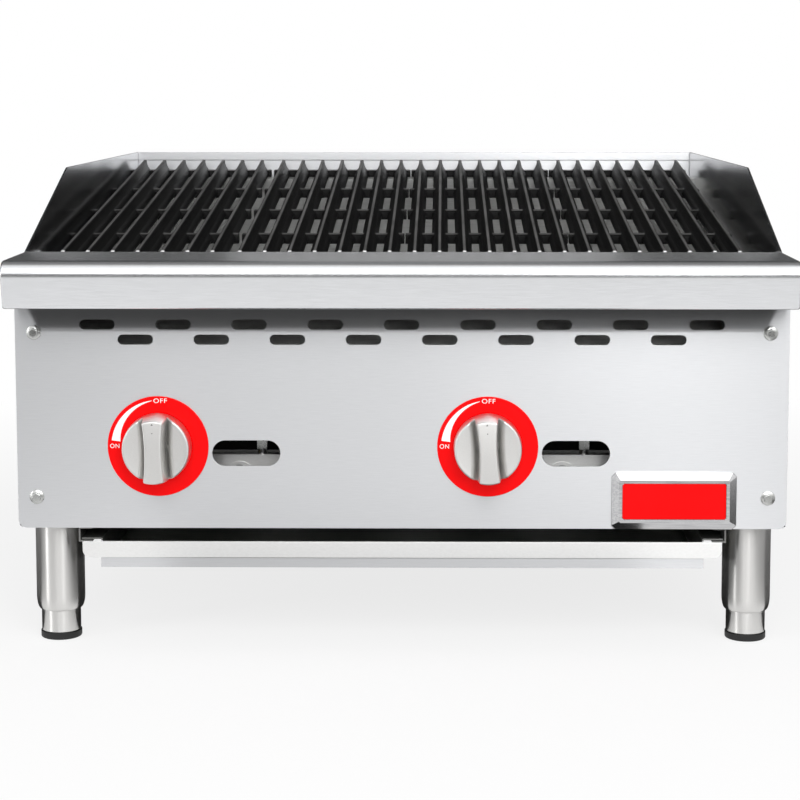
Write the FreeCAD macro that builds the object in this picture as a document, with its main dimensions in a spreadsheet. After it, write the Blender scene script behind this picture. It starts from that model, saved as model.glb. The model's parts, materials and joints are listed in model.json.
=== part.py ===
import FreeCAD
import Part
import Sketcher
import os

from FreeCAD import Rotation, Vector

# A countertop gas charbroiler. X runs to the right, Y to the back and Z up. The origin is on the
# counter, in the middle of the whole unit's box.

doc = FreeCAD.newDocument("Charbroiler")
sizes = doc.addObject("Spreadsheet::Sheet", "Sizes")


# ---------------------------------------------------------------- sizes and their arithmetic

class Size:
    """A length or an angle: its number and the spreadsheet expression that gives it."""

    def __init__(self, text, value):
        self.text = text
        self.value = value

    def __add__(self, other):
        return Size(f"({self.text} + {text(other)})", self.value + number(other))

    def __radd__(self, other):
        return Size(f"({text(other)} + {self.text})", number(other) + self.value)

    def __sub__(self, other):
        return Size(f"({self.text} - {text(other)})", self.value - number(other))

    def __rsub__(self, other):
        return Size(f"({text(other)} - {self.text})", number(other) - self.value)

    def __mul__(self, other):
        return Size(f"({self.text} * {text(other)})", self.value * number(other))

    def __rmul__(self, other):
        return Size(f"({text(other)} * {self.text})", number(other) * self.value)

    def __truediv__(self, other):
        return Size(f"({self.text} / {text(other)})", self.value / number(other))

    def __neg__(self):
        return Size(f"(-1 * {self.text})", -self.value)


def text(size):
    return size.text if isinstance(size, Size) else repr(float(size))


def number(size):
    return size.value if isinstance(size, Size) else float(size)


def sine(angle):
    return Size(f"sin({text(angle)})", Rotation(Vector(0, 0, 1), number(angle)).multVec(Vector(1, 0, 0)).y)


def cosine(angle):
    return Size(f"cos({text(angle)})", Rotation(Vector(0, 0, 1), number(angle)).multVec(Vector(1, 0, 0)).x)


# The driving dimensions in millimetres, degrees and counts. Each one becomes a cell of the sheet.

# Body
body_width = 610  # across the outer faces of the side panels
body_depth = 700  # front of the lip to the back of the rear panel
splash_rise = 60.5  # lip top to the top of the splash guards
body_bottom = 97  # counter to the underside of the body
gauge = 1.5  # stainless sheet
splash_start = 278  # lip front to where the splash guard turns level
corner_round = 22  # radius at the splash guard's upper corner
flange = 24  # folded flange of a panel
hem = 8.6  # folded hem along the rear splash
clearance = 0.3  # clearance of pieces that lift, slide or turn

# Front lip
lip_depth = 93  # front rail, front to back
lip_top = 314  # counter to the lip's flat top
lip_height = 37  # height of the front rail
nose_radius = 10.5  # bullnose radius
lip_slant = 6  # how far the lip's lower edge is set back

# Front panel
panel_setback = 50  # lip front to the panel's face
panel_corner = 7  # radius of the panel's lower corners
vent_length = 28  # vent slot
vent_height = 8  # vent slot
vent_pitch = 60  # between vent slots
vent_count = 9  # vent slots in the upper row
vent_drop = 17  # lip's underside to the upper row
vent_step = 12  # upper row to lower row
port_length = 54  # lighting port
port_height = 20.5  # lighting port
port_drop = 5.6  # knob axes down to the lighting ports
port_offset = 69.8  # knob axis to lighting port
bolt_inset = 15  # side panel to a panel bolt
bolt_rise = 25  # body's underside to the lower panel bolts
bolt_drop = 23.4  # lip's underside to the upper panel bolts
bolt_thread = 5  # panel bolt thread
bolt_flange = 11.5  # panel bolt flange
bolt_hexagon = 8  # panel bolt across its flats

# Controls
knob_inset = 112  # left side panel to the first knob's axis
knob_right_inset = 237  # second knob's axis to the right side panel
knob_rise = 66  # body's underside to the knob axes
knob_diameter = 54  # control knob
knob_depth = 30  # control knob
knob_grip = 13.5  # width of the knob's grip
knob_skirt = 6  # skirt left at the foot of the scoops
bezel_diameter = 80  # dial plate
bezel_thickness = 1.2  # dial plate
bezel_gap = 1.5  # dial plate to knob
stem_diameter = 8  # valve stem
stem_flat = 1.5  # depth of the flat on the valve stem
stem_fit = 0.05  # radial clearance of a turning stem
stem_hole = 12  # hole for the stem in the panel

# Gas train
manifold_diameter = 21.3  # manifold pipe
manifold_wall = 2.8  # manifold pipe wall
manifold_drop = 31  # knob axes down to the manifold's axis
manifold_reach = 232  # centre plane to the manifold's closed end
inlet_diameter = 26.7  # supply pipe
inlet_wall = 2.9  # supply pipe wall
inlet_proud = 16  # supply pipe behind the rear panel
thread_length = 15  # threaded end of the supply pipe
thread_depth = 0.25  # threaded end, below the pipe's surface
elbow_wall = 1.65  # elbow socket around the supply pipe
valve_size = 24  # valve body, square
valve_length = 25  # valve body, front to back
valve_gap = 2  # valve body to its orifice hood
valve_neck = 13  # valve inlet and outlet necks
pilot_neck = 9  # pilot valve, diameter
hood_diameter = 14  # orifice hood
hood_length = 12  # orifice hood
orifice = 2.2  # orifice bore
pilot_offset = 79  # knob axis to pilot burner
pilot_valve_offset = 29  # knob axis to pilot valve
pilot_tube = 4.5  # pilot supply tube
pilot_rise = 6  # bracket's top edge to the pilot tube over it
pilot_width = 8  # pilot head
boss_rise = 14  # manifold axis to the top of a boss
stem_depth = 10  # stem inside the valve
stem_grip = 18  # stem inside the knob

# Burners and radiants
mixer_diameter = 42  # mixer bell of a burner
leg_spacing = 131  # between the two legs of a burner
burner_width = 32  # burner leg
burner_height = 28  # burner leg
burner_wall = 4  # cast burner wall
burner_gap = 25.5  # bracket to the burner's cross tube
burner_end_gap = 26  # burner legs' ends to the rear liner
mixer_proud = 1  # mixer in front of its bracket
hanger_depth = 36  # shelf under the burners' rear ends
shutter_thickness = 1.2  # air shutter disc
shutter_window = 12  # air windows, diameter
radiant_width = 112  # heat radiant
radiant_rise = 46  # heat radiant, edge to ridge
radiant_gap = 3  # burner top to the radiants' angle bars
radiant_gauge = 2  # heat radiant sheet
radiant_angle = 20  # angle bar that carries the radiants

# Firebox
cavity_play = 2.5  # elbow to the walls of the side cavity, both sides
bracket_gap = 5.5  # valve body to the burner bracket
bracket_drop = 13  # knob axes down to the bracket's top edge
bracket_fold = 9  # top fold of the burner bracket
rim_offset = 61  # knob axis to the rimmed hole in the bracket
rim_diameter = 25  # rimmed hole in the bracket
rail_depth = 66  # base rails, front to back
rail_lip = 9  # upturned edge of a base rail
trough_drop = 15  # lip's underside to the grease trough
chute_width = 44  # grease chute
chute_depth = 36  # grease chute

# Grates
grate_front = 190  # lip front to the front tips of the grates
grate_drop = 7  # lip top to the front tips of the grates
grate_slope = 7.02  # slope of the grates, degrees
grate_back_gap = 20.7  # rear hem to the ends of the grates
bar_count = 7  # bars in a grate
bar_base = 14.7  # grate bar at its foot
bar_ridge = 3.4  # grate bar at its ridge
bar_height = 16  # grate bar
bar_foot = 3  # upright part of a bar's side
cross_drop = 10  # ridge to the top of a crossbar
cross_height = 9  # crossbar
cross_width = 8  # crossbar
cross_count = 5  # crossbars in a grate
cross_inset = 3  # front tip to the first crossbar
cross_nub = 2.9  # crossbar beyond the outer bars
grate_play = 0.85  # between neighbouring grates
rest_gap = 4  # rear rest bar to the rear crossbar
grate_inset = 0.6  # left splash to the first grate
grate_gap = 2  # between grates, at the first joint
grate_margin = 7.45  # last grate to the right splash
rest_height = 12  # grate rest bar
rest_inset = 14  # front tip to the front rest bar

# Legs and feet
leg_diameter = 39  # leg tube
leg_inset = 26  # side panel to a leg's axis
leg_setback = 35  # panel or rear face to a leg's axis
leg_end = 24  # counter to the leg tube's lower end
leg_shoulder = 8  # rounded shoulder of a leg
leg_stud = 10  # stud at the top of a leg
foot_diameter = 31.5  # adjustable foot sleeve
foot_length = 58  # adjustable foot sleeve
pad_height = 6  # foot pad
pad_diameter = 33  # foot pad

# Drip tray
runner_gap = 1.5  # leg to a tray runner's web
runner_drop = 12  # tray runner below the body
runner_lip = 11  # inward lip of a tray runner
tray_plate_width = 509  # drip tray's front plate
tray_plate_height = 13  # drip tray's front plate
tray_corner = 6  # radius of the front plate's corners
tray_pan_play = 7  # tray pan to a runner's lip
tray_depth = 23  # drip tray's pan
tray_drop = 11  # body to the top of the tray's front plate
tray_length = 600  # drip tray, front to back
tray_gauge = 1.2  # drip tray sheet

# Badge
badge_width = 99  # badge frame
badge_height = 45.7  # badge frame
badge_thickness = 5  # badge frame
badge_border = 8.5  # badge frame's border
badge_bevel = 45  # slope of the badge frame's sides, degrees
badge_inset = 89.4  # right side panel to the middle of the badge


def drive(name, value, row):
    """Writes one driving dimension to the sheet and returns it as a size bound to its cell."""
    sizes.set(f"A{row}", name)
    sizes.set(f"B{row}", str(value))
    sizes.setAlias(f"B{row}", name)
    return Size(f"Sizes.{name}", float(value))


driving = [name for name, value in globals().items() if isinstance(value, (int, float))]
for row, name in enumerate(driving, 1):
    globals()[name] = drive(name, globals()[name], row)
sizes.recompute()

# Counts that stay as they are
grate_count = 4
port_rows = 18

# Places worked out from the driving dimensions
front = -(body_depth + inlet_proud) / 2
back = front + body_depth
elbow_diameter = inlet_diameter + 2 * elbow_wall
cavity = elbow_diameter + cavity_play + gauge
inner = body_width / 2 - gauge
liner_inner = inner - cavity
lip_bottom = lip_top - lip_height
splash_top = lip_top + splash_rise
panel_face = front + panel_setback
panel_back = panel_face + gauge
rear_inner = back - gauge
leg_columns = (-(body_width / 2 - leg_inset), body_width / 2 - leg_inset)
leg_rows = (panel_face + leg_setback, back - leg_setback)
bolt_axis = body_width / 2 - bolt_inset
bolt_levels = (body_bottom + bolt_rise, lip_bottom - bolt_drop)
vent_upper = lip_bottom - vent_drop
vent_lower = vent_upper - vent_step

knob_level = body_bottom + knob_rise
knob_first = knob_inset - body_width / 2
burner_pitch = body_width - knob_inset - knob_right_inset
knob_axes = (knob_first, knob_first + burner_pitch)
bezel_face = panel_face - bezel_thickness
knob_back = bezel_face - bezel_gap
valve_front = panel_back + 2 * gauge
hood_front = valve_front + valve_length + valve_gap
outlet_length = hood_length / 2
outlet_diameter = hood_diameter - 2 * burner_wall
bracket_face = valve_front + valve_length + bracket_gap
bracket_back = bracket_face + gauge
bracket_top = knob_level - bracket_drop
manifold_y = valve_front + valve_length - valve_neck / 2
manifold_level = knob_level - manifold_drop
supply_axis = inner - (cavity - gauge) / 2
pilot_y = bracket_back + bracket_fold / 2
pilot_level = bracket_top + pilot_rise
badge_centre = body_width / 2 - badge_inset
badge_level = body_bottom + badge_height / 2
badge_floor = panel_face - badge_thickness / 2

grate_tip = front + grate_front
grate_front_level = lip_top - grate_drop
grate_length = (rear_inner - gauge - grate_back_gap - grate_tip) / cosine(grate_slope)
grate_room = 2 * inner - grate_inset - grate_gap - grate_margin - (grate_count - 1) * grate_play
grate_width = grate_room / grate_count
bar_pitch = (grate_width - bar_base - 2 * cross_nub) / (bar_count - 1)
rear_rest_start = grate_length - cross_inset - cross_width - rest_gap - rest_height
rest_foot = -(bar_height + clearance + rest_height)
trough_bottom = lip_bottom - trough_drop

runner_face = body_width / 2 - leg_inset - leg_diameter / 2 - runner_gap
runner_low = body_bottom - runner_drop


def on_slope(along, above):
    """The Y and Z of a point measured along the grates from their front tips, and up from their ridges."""
    y = grate_tip + along * cosine(grate_slope) - above * sine(grate_slope)
    z = grate_front_level + along * sine(grate_slope) + above * cosine(grate_slope)
    return y, z


def slope_level(y, above):
    """The Z of the line at that height above the ridges, where it passes a Y."""
    return grate_front_level + ((y - grate_tip) * sine(grate_slope) + above) / cosine(grate_slope)


trough_back = on_slope(rest_inset + rest_height / 2, rest_foot)[0]
rear_liner_face = on_slope(rear_rest_start + rest_height / 2, rest_foot)[0]
rail_front = trough_back + gauge
radiant_start = rail_front + clearance
radiant_stop = rear_liner_face - clearance
burner_start = bracket_back + burner_gap
burner_stop = rear_liner_face - burner_end_gap
burner_low = knob_level - burner_height / 2
burner_high = knob_level + burner_height / 2
mixer_start = bracket_face - mixer_proud
radiant_level = burner_high + radiant_gap + radiant_angle


# ---------------------------------------------------------------- making pieces

pieces = {}


def bind(thing, **values):
    """Binds properties to sizes."""
    for name, value in values.items():
        thing.setExpression(name, text(value))
    return thing


def place(thing, x=0, y=0, z=0):
    """Binds a thing's place to sizes."""
    for axis, value in zip("xyz", (x, y, z)):
        if isinstance(value, Size):
            thing.setExpression(f"Placement.Base.{axis}", value.text)
        elif value:
            thing.setExpression(f"Placement.Base.{axis}", repr(float(value)))
    return thing


def tilt(thing):
    """Leans a thing with the grates."""
    thing.Placement.Rotation = Rotation(Vector(1, 0, 0), 1)
    thing.setExpression("Placement.Rotation.Angle", grate_slope.text)
    return thing


def box(name, x, y, z):
    """A box between two bounds along each axis."""
    thing = doc.addObject("Part::Box", name)
    bind(thing, Length=x[1] - x[0], Width=y[1] - y[0], Height=z[1] - z[0])
    return place(thing, x[0], y[0], z[0])


def centred(half):
    return (-half, half)


TURN = {"z": Rotation(), "y": Rotation(Vector(1, 0, 0), -90), "x": Rotation(Vector(0, 1, 0), 90)}


def cylinder(name, diameter, length, axis, x=0, y=0, z=0):
    """A cylinder that starts at a point and runs along +X, +Y or +Z."""
    thing = doc.addObject("Part::Cylinder", name)
    bind(thing, Radius=diameter / 2, Height=length)
    thing.Placement.Rotation = TURN[axis]
    return place(thing, x, y, z)


def cone(name, diameter_start, diameter_end, length, axis, x=0, y=0, z=0):
    """A cone that starts at a point and runs along +X, +Y or +Z."""
    thing = doc.addObject("Part::Cone", name)
    bind(thing, Radius1=diameter_start / 2, Radius2=diameter_end / 2, Height=length)
    thing.Placement.Rotation = TURN[axis]
    return place(thing, x, y, z)


def fuse(name, things):
    thing = doc.addObject("Part::MultiFuse", name)
    thing.Shapes = things
    thing.Refine = True
    return thing


def cut(name, base, tools):
    thing = doc.addObject("Part::Cut", name)
    thing.Base = base
    thing.Tool = tools[0] if len(tools) == 1 else fuse(name + "_tools", tools)
    thing.Refine = True
    return thing


def group(name, things):
    """Identical or paired solids that share one node."""
    thing = doc.addObject("Part::Compound", name)
    thing.Links = things
    return thing


def piece(label, thing):
    """Names a finished sub-part."""
    thing.Label = label
    pieces[label] = thing
    return thing


def plane(body, role):
    for feature in body.Origin.OriginFeatures:
        if feature.Role == role:
            return feature
    raise ValueError(role)


def new_sketch(body, name, role):
    drawing = body.newObject("Sketcher::SketchObject", name)
    drawing.AttachmentSupport = [(plane(body, role), "")]
    drawing.MapMode = "FlatFace"
    return drawing


def pin(drawing, edge, end, point, label):
    """Ties one end of an edge to a point given by sizes."""
    for kind, value, axis in (("DistanceX", point[0], "x"), ("DistanceY", point[1], "y")):
        index = drawing.addConstraint(
            Sketcher.Constraint(kind, -1, 1, edge, end, number(value)))
        drawing.renameConstraint(index, f"{label}_{axis}")
        drawing.setExpression(f"Constraints.{label}_{axis}", text(value))


def outline(body, name, role, points, rounds=None):
    """A closed outline, anticlockwise, through points given by sizes, with some corners rounded."""
    rounds = rounds or {}
    drawing = new_sketch(body, name, role)
    corners = [Vector(number(u), number(v), 0) for u, v in points]
    count = len(corners)
    starts, ends, bends = [], [], {}
    for index, corner in enumerate(corners):
        before = (corners[index - 1] - corner).normalize()
        after = (corners[(index + 1) % count] - corner).normalize()
        radius = number(rounds.get(index, 0))
        reach = 0.0
        if radius:
            half = before.getAngle(after) / 2
            bisector = (before + after).normalize()
            middle = (before * bisector) * 1.0
            reach = radius * middle / (1 - middle * middle) ** 0.5
            centre = corner + bisector * (radius / (1 - middle * middle) ** 0.5)
            bends[index] = (centre, radius, half)
        ends.append(corner + before * reach)
        starts.append(corner + after * reach)
    for index in range(count):
        following = (index + 1) % count
        drawing.addGeometry(Part.LineSegment(starts[index], ends[following]), False)
    for index, point in enumerate(points):
        previous = (index - 1) % count
        if index not in bends:
            drawing.addConstraint(Sketcher.Constraint("Coincident", previous, 2, index, 1))
            pin(drawing, index, 1, point, f"point{index}")
            continue
        centre, radius, half = bends[index]
        turn = (ends[index] - centre).cross(starts[index] - centre).z
        first, second = (ends[index], starts[index]) if turn > 0 else (starts[index], ends[index])
        inside = centre + (corners[index] - centre).normalize() * radius
        arc = drawing.addGeometry(Part.Arc(first, inside, second), False)
        meets = (1, 2) if turn > 0 else (2, 1)
        drawing.addConstraint(Sketcher.Constraint("Tangent", previous, 2, arc, meets[0]))
        drawing.addConstraint(Sketcher.Constraint("Tangent", arc, meets[1], index, 1))
        knee = drawing.addGeometry(Part.Point(corners[index]), True)
        drawing.addConstraint(Sketcher.Constraint("PointOnObject", knee, 1, previous))
        drawing.addConstraint(Sketcher.Constraint("PointOnObject", knee, 1, index))
        bound_radius(drawing, arc, rounds[index], f"radius{index}")
        pin(drawing, knee, 1, point, f"point{index}")
    return drawing


def bound_radius(drawing, arc, radius, label):
    index = drawing.addConstraint(Sketcher.Constraint("Radius", arc, number(radius)))
    drawing.renameConstraint(index, label)
    drawing.setExpression(f"Constraints.{label}", text(radius))


def slot_outline(body, name, role, centre, length, height):
    """A full-round slot that lies along the sketch's first axis."""
    drawing = new_sketch(body, name, role)
    reach = (length - height) / 2
    radius = height / 2
    cu, cv = number(centre[0]), number(centre[1])
    r, a = number(radius), number(reach)
    left = Part.Circle(Vector(cu - a, cv, 0), Vector(0, 0, 1), r)
    right = Part.Circle(Vector(cu + a, cv, 0), Vector(0, 0, 1), r)
    quarter = Rotation(Vector(0, 0, 1), 90).Angle
    drawing.addGeometry(Part.ArcOfCircle(right, -quarter, quarter), False)
    drawing.addGeometry(Part.LineSegment(Vector(cu + a, cv + r, 0), Vector(cu - a, cv + r, 0)), False)
    drawing.addGeometry(Part.ArcOfCircle(left, quarter, 3 * quarter), False)
    drawing.addGeometry(Part.LineSegment(Vector(cu - a, cv - r, 0), Vector(cu + a, cv - r, 0)), False)
    for first, first_end, second, second_end in ((0, 2, 1, 1), (1, 2, 2, 1), (2, 2, 3, 1), (3, 2, 0, 1)):
        drawing.addConstraint(
            Sketcher.Constraint("Tangent", first, first_end, second, second_end))
    bound_radius(drawing, 0, radius, "radius")
    pin(drawing, 0, 3, (centre[0] + reach, centre[1]), "right")
    pin(drawing, 2, 3, (centre[0] - reach, centre[1]), "left")
    return drawing


def pad(body, drawing, name, length, reverse=False, middle=False):
    feature = body.newObject("PartDesign::Pad", name)
    feature.Profile = drawing
    feature.Reversed = reverse
    if middle:
        feature.Midplane = True
    bind(feature, Length=length)
    return feature


def pocket(body, drawing, name, reverse=False):
    """Cuts right through, and makes sure that it did."""
    before = volume(body)
    feature = body.newObject("PartDesign::Pocket", name)
    feature.Profile = drawing
    feature.Type = "ThroughAll"
    feature.Reversed = reverse
    if volume(body) >= before:
        raise ValueError(f"{name} cuts nothing")
    return feature


def volume(body):
    doc.recompute()
    return body.Shape.Volume


def repeat(body, feature, name, drawing, axis, length, count):
    """Repeats a feature along a sketch axis over a whole length."""
    pattern = body.newObject("PartDesign::LinearPattern", name)
    pattern.Originals = [feature]
    pattern.Direction = (drawing, [axis])
    bind(pattern, Length=length, Occurrences=count)
    body.Tip = pattern
    return pattern


def new_body(name):
    return doc.addObject("PartDesign::Body", name)



# ---------------------------------------------------------------- body panels

def front_panel():
    """The control panel: a plate with two rows of vents, the lighting ports and the stem holes."""
    body = new_body("FrontPanel")
    half = body_width / 2
    corners = [(-half, body_bottom), (half, body_bottom), (half, lip_bottom), (-half, lip_bottom)]
    drawing = outline(body, "PanelOutline", "XZ_Plane", corners, {0: panel_corner, 1: panel_corner})
    pad(body, drawing, "PanelSheet", gauge)
    for row, level, count in (("Upper", vent_upper, vent_count), ("Lower", vent_lower, vent_count - 1)):
        span = (count - 1) * vent_pitch
        start = (-span / 2, level)
        drawing = slot_outline(body, row + "Vent", "XZ_Plane", start, vent_length, vent_height)
        vent = pocket(body, drawing, row + "VentCut", reverse=True)
        repeat(body, vent, row + "Vents", drawing, "H_Axis", span, count)
    port = slot_outline(body, "Port", "XZ_Plane", (knob_first + port_offset, knob_level - port_drop),
                        port_length, port_height)
    cutting = pocket(body, port, "PortCut", reverse=True)
    repeat(body, cutting, "Ports", port, "H_Axis", burner_pitch, Size("2", 2))
    holes = [cylinder("StemHole", stem_hole, 3 * gauge, "y", x, -2 * gauge, knob_level) for x in knob_axes]
    for x in centred(bolt_axis):
        for z in bolt_levels:
            hole = bolt_thread + 2 * clearance
            holes.append(cylinder("BoltHole", hole, 3 * gauge, "y", x, -2 * gauge, z))
    panel = cut("FrontPanelDrilled", body, holes)
    return place(panel, 0, panel_back, 0)


def side_panel():
    """The left side of the body and its splash guard, with the folded flange that the panel bolts to."""
    body = new_body("SidePanel")
    lip_rear = front + lip_depth
    corners = [(panel_back, body_bottom), (back, body_bottom), (back, splash_top),
               (front + splash_start, splash_top), (lip_rear, lip_top), (lip_rear, lip_bottom),
               (panel_back, lip_bottom)]
    drawing = outline(body, "SideOutline", "YZ_Plane", corners, {0: panel_corner, 3: corner_round})
    pad(body, drawing, "SideSheet", gauge)
    place(body, -body_width / 2, 0, 0)
    fold = new_body("SideFlange")
    corners = [(-inner, body_bottom), (-inner + flange, body_bottom), (-inner + flange, lip_bottom),
               (-inner, lip_bottom)]
    drawing = outline(fold, "FlangeOutline", "XZ_Plane", corners, {0: panel_corner})
    pad(fold, drawing, "FlangeSheet", gauge)
    place(fold, 0, panel_back + gauge, 0)
    whole = fuse("SideWithFlange", [body, fold])
    holes = [cylinder("FlangeHole", bolt_thread + 2 * clearance, 3 * gauge, "y", -bolt_axis,
                      panel_back - gauge, z) for z in bolt_levels]
    return cut("SidePanelLeft", whole, holes)


def mirrored(name, source):
    thing = doc.addObject("Part::Mirroring", name)
    thing.Source = source
    thing.Normal = Vector(1, 0, 0)
    return thing


def rear_panel():
    """The back of the body and the rear splash, its top edge hemmed forwards."""
    sheet_part = box("RearSheet", centred(inner), (rear_inner, back), (body_bottom, splash_top))
    fold = box("RearHem", centred(inner), (rear_inner - gauge, rear_inner), (splash_top - hem, splash_top))
    hole = cylinder("SupplyHole", inlet_diameter + 4 * clearance, 3 * gauge, "y", supply_axis,
                    rear_inner - gauge, manifold_level)
    return cut("RearPanel", fuse("RearWithHem", [sheet_part, fold]), [hole])


def nose_outline(body, name, inset):
    """The lip's section: flat top, round nose, face that slants back to the lower edge."""
    drawing = new_sketch(body, name, "YZ_Plane")
    radius = nose_radius - inset
    low = lip_bottom + inset
    high = lip_top - inset
    toe = (front + lip_slant + inset, low)
    heel = (front + lip_depth - inset, low)
    top = (front + lip_depth - inset, high)
    middle = (front + nose_radius, lip_top - nose_radius)
    centre = Vector(number(middle[0]), number(middle[1]), 0)
    crown = centre + Vector(0, number(radius), 0)
    brow = centre + Vector(-number(radius), 0, 0)
    points = [Vector(number(u), number(v), 0) for u, v in (toe, heel, top)]
    for start, stop in ((points[0], points[1]), (points[1], points[2]), (points[2], crown)):
        drawing.addGeometry(Part.LineSegment(start, stop), False)
    curve = Part.Circle(centre, Vector(0, 0, 1), number(radius))
    quarter = Rotation(Vector(0, 0, 1), 90).Angle
    drawing.addGeometry(Part.ArcOfCircle(curve, quarter, 2.1 * quarter), False)
    drawing.addGeometry(Part.LineSegment(brow, points[0]), False)
    drawing.addConstraint(Sketcher.Constraint("Coincident", 0, 2, 1, 1))
    drawing.addConstraint(Sketcher.Constraint("Coincident", 1, 2, 2, 1))
    drawing.addConstraint(Sketcher.Constraint("Coincident", 4, 2, 0, 1))
    drawing.addConstraint(Sketcher.Constraint("Horizontal", 2))
    drawing.addConstraint(Sketcher.Constraint("Tangent", 2, 2, 3, 1))
    drawing.addConstraint(Sketcher.Constraint("Tangent", 3, 2, 4, 1))
    pin(drawing, 0, 1, toe, "toe")
    pin(drawing, 1, 1, heel, "heel")
    pin(drawing, 2, 1, top, "top")
    pin(drawing, 3, 3, middle, "centre")
    return drawing


def front_lip():
    """The bullnose rail: folded sheet with closed ends, open underneath behind the panel."""
    body = new_body("FrontLip")
    pad(body, nose_outline(body, "LipOuter", Size("0", 0)), "LipBlock", body_width, middle=True)
    hollow = body.newObject("PartDesign::Pocket", "LipHollow")
    hollow.Profile = nose_outline(body, "LipInner", gauge)
    hollow.Midplane = True
    bind(hollow, Length=body_width - 2 * gauge)
    doc.recompute()
    opening = box("LipOpening", centred(inner - flange), (panel_back + flange / 2, front + lip_depth - gauge),
                  (lip_bottom - gauge, lip_bottom + 2 * gauge))
    return cut("FrontLipOpen", body, [opening])


# ---------------------------------------------------------------- underframe

def base_rail(name, start):
    """A channel across the bottom of the body that carries two legs."""
    stop = start + rail_depth
    floor = box(name + "Floor", centred(inner), (start, stop), (body_bottom, body_bottom + gauge))
    width = centred(liner_inner - clearance)
    height = (body_bottom, body_bottom + rail_lip)
    front_fold = box(name + "FrontFold", width, (start, start + gauge), height)
    rear_fold = box(name + "RearFold", width, (stop - gauge, stop), height)
    y = leg_rows[0] if name == "FrontRail" else leg_rows[1]
    holes = [cylinder(name + "Hole", leg_stud + 2 * clearance, 3 * gauge, "z", x, y, body_bottom - gauge)
             for x in leg_columns]
    return cut(name, fuse(name + "Folded", [floor, front_fold, rear_fold]), holes)


def tray_runner():
    """The left J-shaped runner that the drip tray slides on."""
    outer = -runner_face
    y = (panel_back + gauge, rear_inner)
    web = box("RunnerWeb", (outer, outer + gauge), y, (runner_low, body_bottom))
    lower = box("RunnerLip", (outer, outer + runner_lip), y, (runner_low, runner_low + gauge))
    upper = box("RunnerTop", (outer, outer + runner_lip), y, (body_bottom - gauge, body_bottom))
    return fuse("TrayRunner", [web, lower, upper])


def liner():
    """The left wall of the firebox, with the sloping flange under the grate rests."""
    body = new_body("Liner")
    floor = body_bottom + gauge
    step = trough_back + gauge + clearance
    corners = [(bracket_back, floor), (rear_liner_face, floor),
               (rear_liner_face, slope_level(rear_liner_face, rest_foot)),
               (step, slope_level(step, rest_foot)), (step, trough_bottom), (bracket_back, trough_bottom)]
    pad(body, outline(body, "LinerOutline", "YZ_Plane", corners), "LinerSheet", gauge)
    place(body, -liner_inner - gauge, 0, 0)
    fold_start = rest_inset + rest_height / 2 + 2 * gauge
    y, z = on_slope(fold_start, rest_foot - gauge)
    fold = doc.addObject("Part::Box", "LinerFold")
    bind(fold, Length=cavity - gauge, Width=rear_rest_start - fold_start, Height=gauge)
    tilt(place(fold, -inner, y, z))
    return fuse("LinerLeft", [body, fold])


def rear_liner():
    top = slope_level(rear_liner_face, rest_foot)
    wall = box("RearLinerWall", centred(liner_inner + gauge), (rear_liner_face, rear_liner_face + gauge),
               (body_bottom + gauge, top))
    fold = box("RearLinerFold", centred(liner_inner + gauge), (rear_liner_face + gauge, rear_inner),
               (top - 3 * gauge, top - 2 * gauge))
    return fuse("RearLiner", [wall, fold])


def front_baffle():
    front_face = bracket_back + flange / 2
    return box("FrontBaffle", centred(liner_inner), (front_face, front_face + gauge),
               (radiant_level, trough_bottom))


def grease_trough():
    """The trough under the grates' front tips, with a chute down to the drip tray."""
    start = front + lip_depth
    chute_start = start + chute_depth
    middle = (knob_axes[0] + leg_spacing + knob_axes[1]) / 2
    across = (middle - chute_width / 2, middle + chute_width / 2)
    along = (chute_start, chute_start + chute_depth)
    wall = box("TroughFront", centred(inner), (start, start + gauge), (trough_bottom, lip_top - 2 * gauge))
    floor = box("TroughFloor", centred(inner), (start, trough_back + gauge),
                (trough_bottom, trough_bottom + gauge))
    rear = box("TroughRear", centred(inner), (trough_back, trough_back + gauge),
               (trough_bottom, slope_level(trough_back, rest_foot)))
    chute = box("Chute", across, along, (body_bottom + 2 * rail_lip, trough_bottom + gauge))
    mouth = box("ChuteMouth", (across[0] + gauge, across[1] - gauge), (along[0] + gauge, along[1] - gauge),
                (body_bottom, trough_bottom + 2 * gauge))
    return cut("GreaseTrough", fuse("TroughFolded", [wall, floor, rear, chute]), [mouth])


def burner_bracket():
    """The plate across the front of the firebox that carries the mixers and the pilots."""
    face = bracket_face
    floor = body_bottom + gauge
    plate = box("BracketPlate", centred(liner_inner), (face, bracket_back), (floor, bracket_top))
    fold = box("BracketFold", centred(liner_inner), (bracket_back, bracket_back + bracket_fold),
               (bracket_top - gauge, bracket_top))
    rims, holes = [], []
    for x in knob_axes:
        middle = x + rim_offset
        rims.append(cylinder("BracketRim", rim_diameter, gauge, "y",
                             middle, face - gauge / 2, manifold_level))
        holes.append(cylinder("BracketHole", rim_diameter - 4 * gauge, 3 * gauge, "y",
                              middle, face - gauge, manifold_level))
        holes.append(cylinder("MixerNotch", mixer_diameter + 2 * clearance, 3 * bracket_fold, "y", x,
                              face - bracket_fold, knob_level))
        for offset in (pilot_valve_offset, pilot_offset):
            holes.append(cylinder("TubeHole", pilot_tube + 2 * clearance, 4 * gauge, "z", x + offset,
                                  pilot_y, bracket_top - 3 * gauge))
    return cut("BurnerBracket", fuse("BracketFolded", [plate, fold] + rims), holes)


# ---------------------------------------------------------------- burners, radiants and grates

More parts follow.
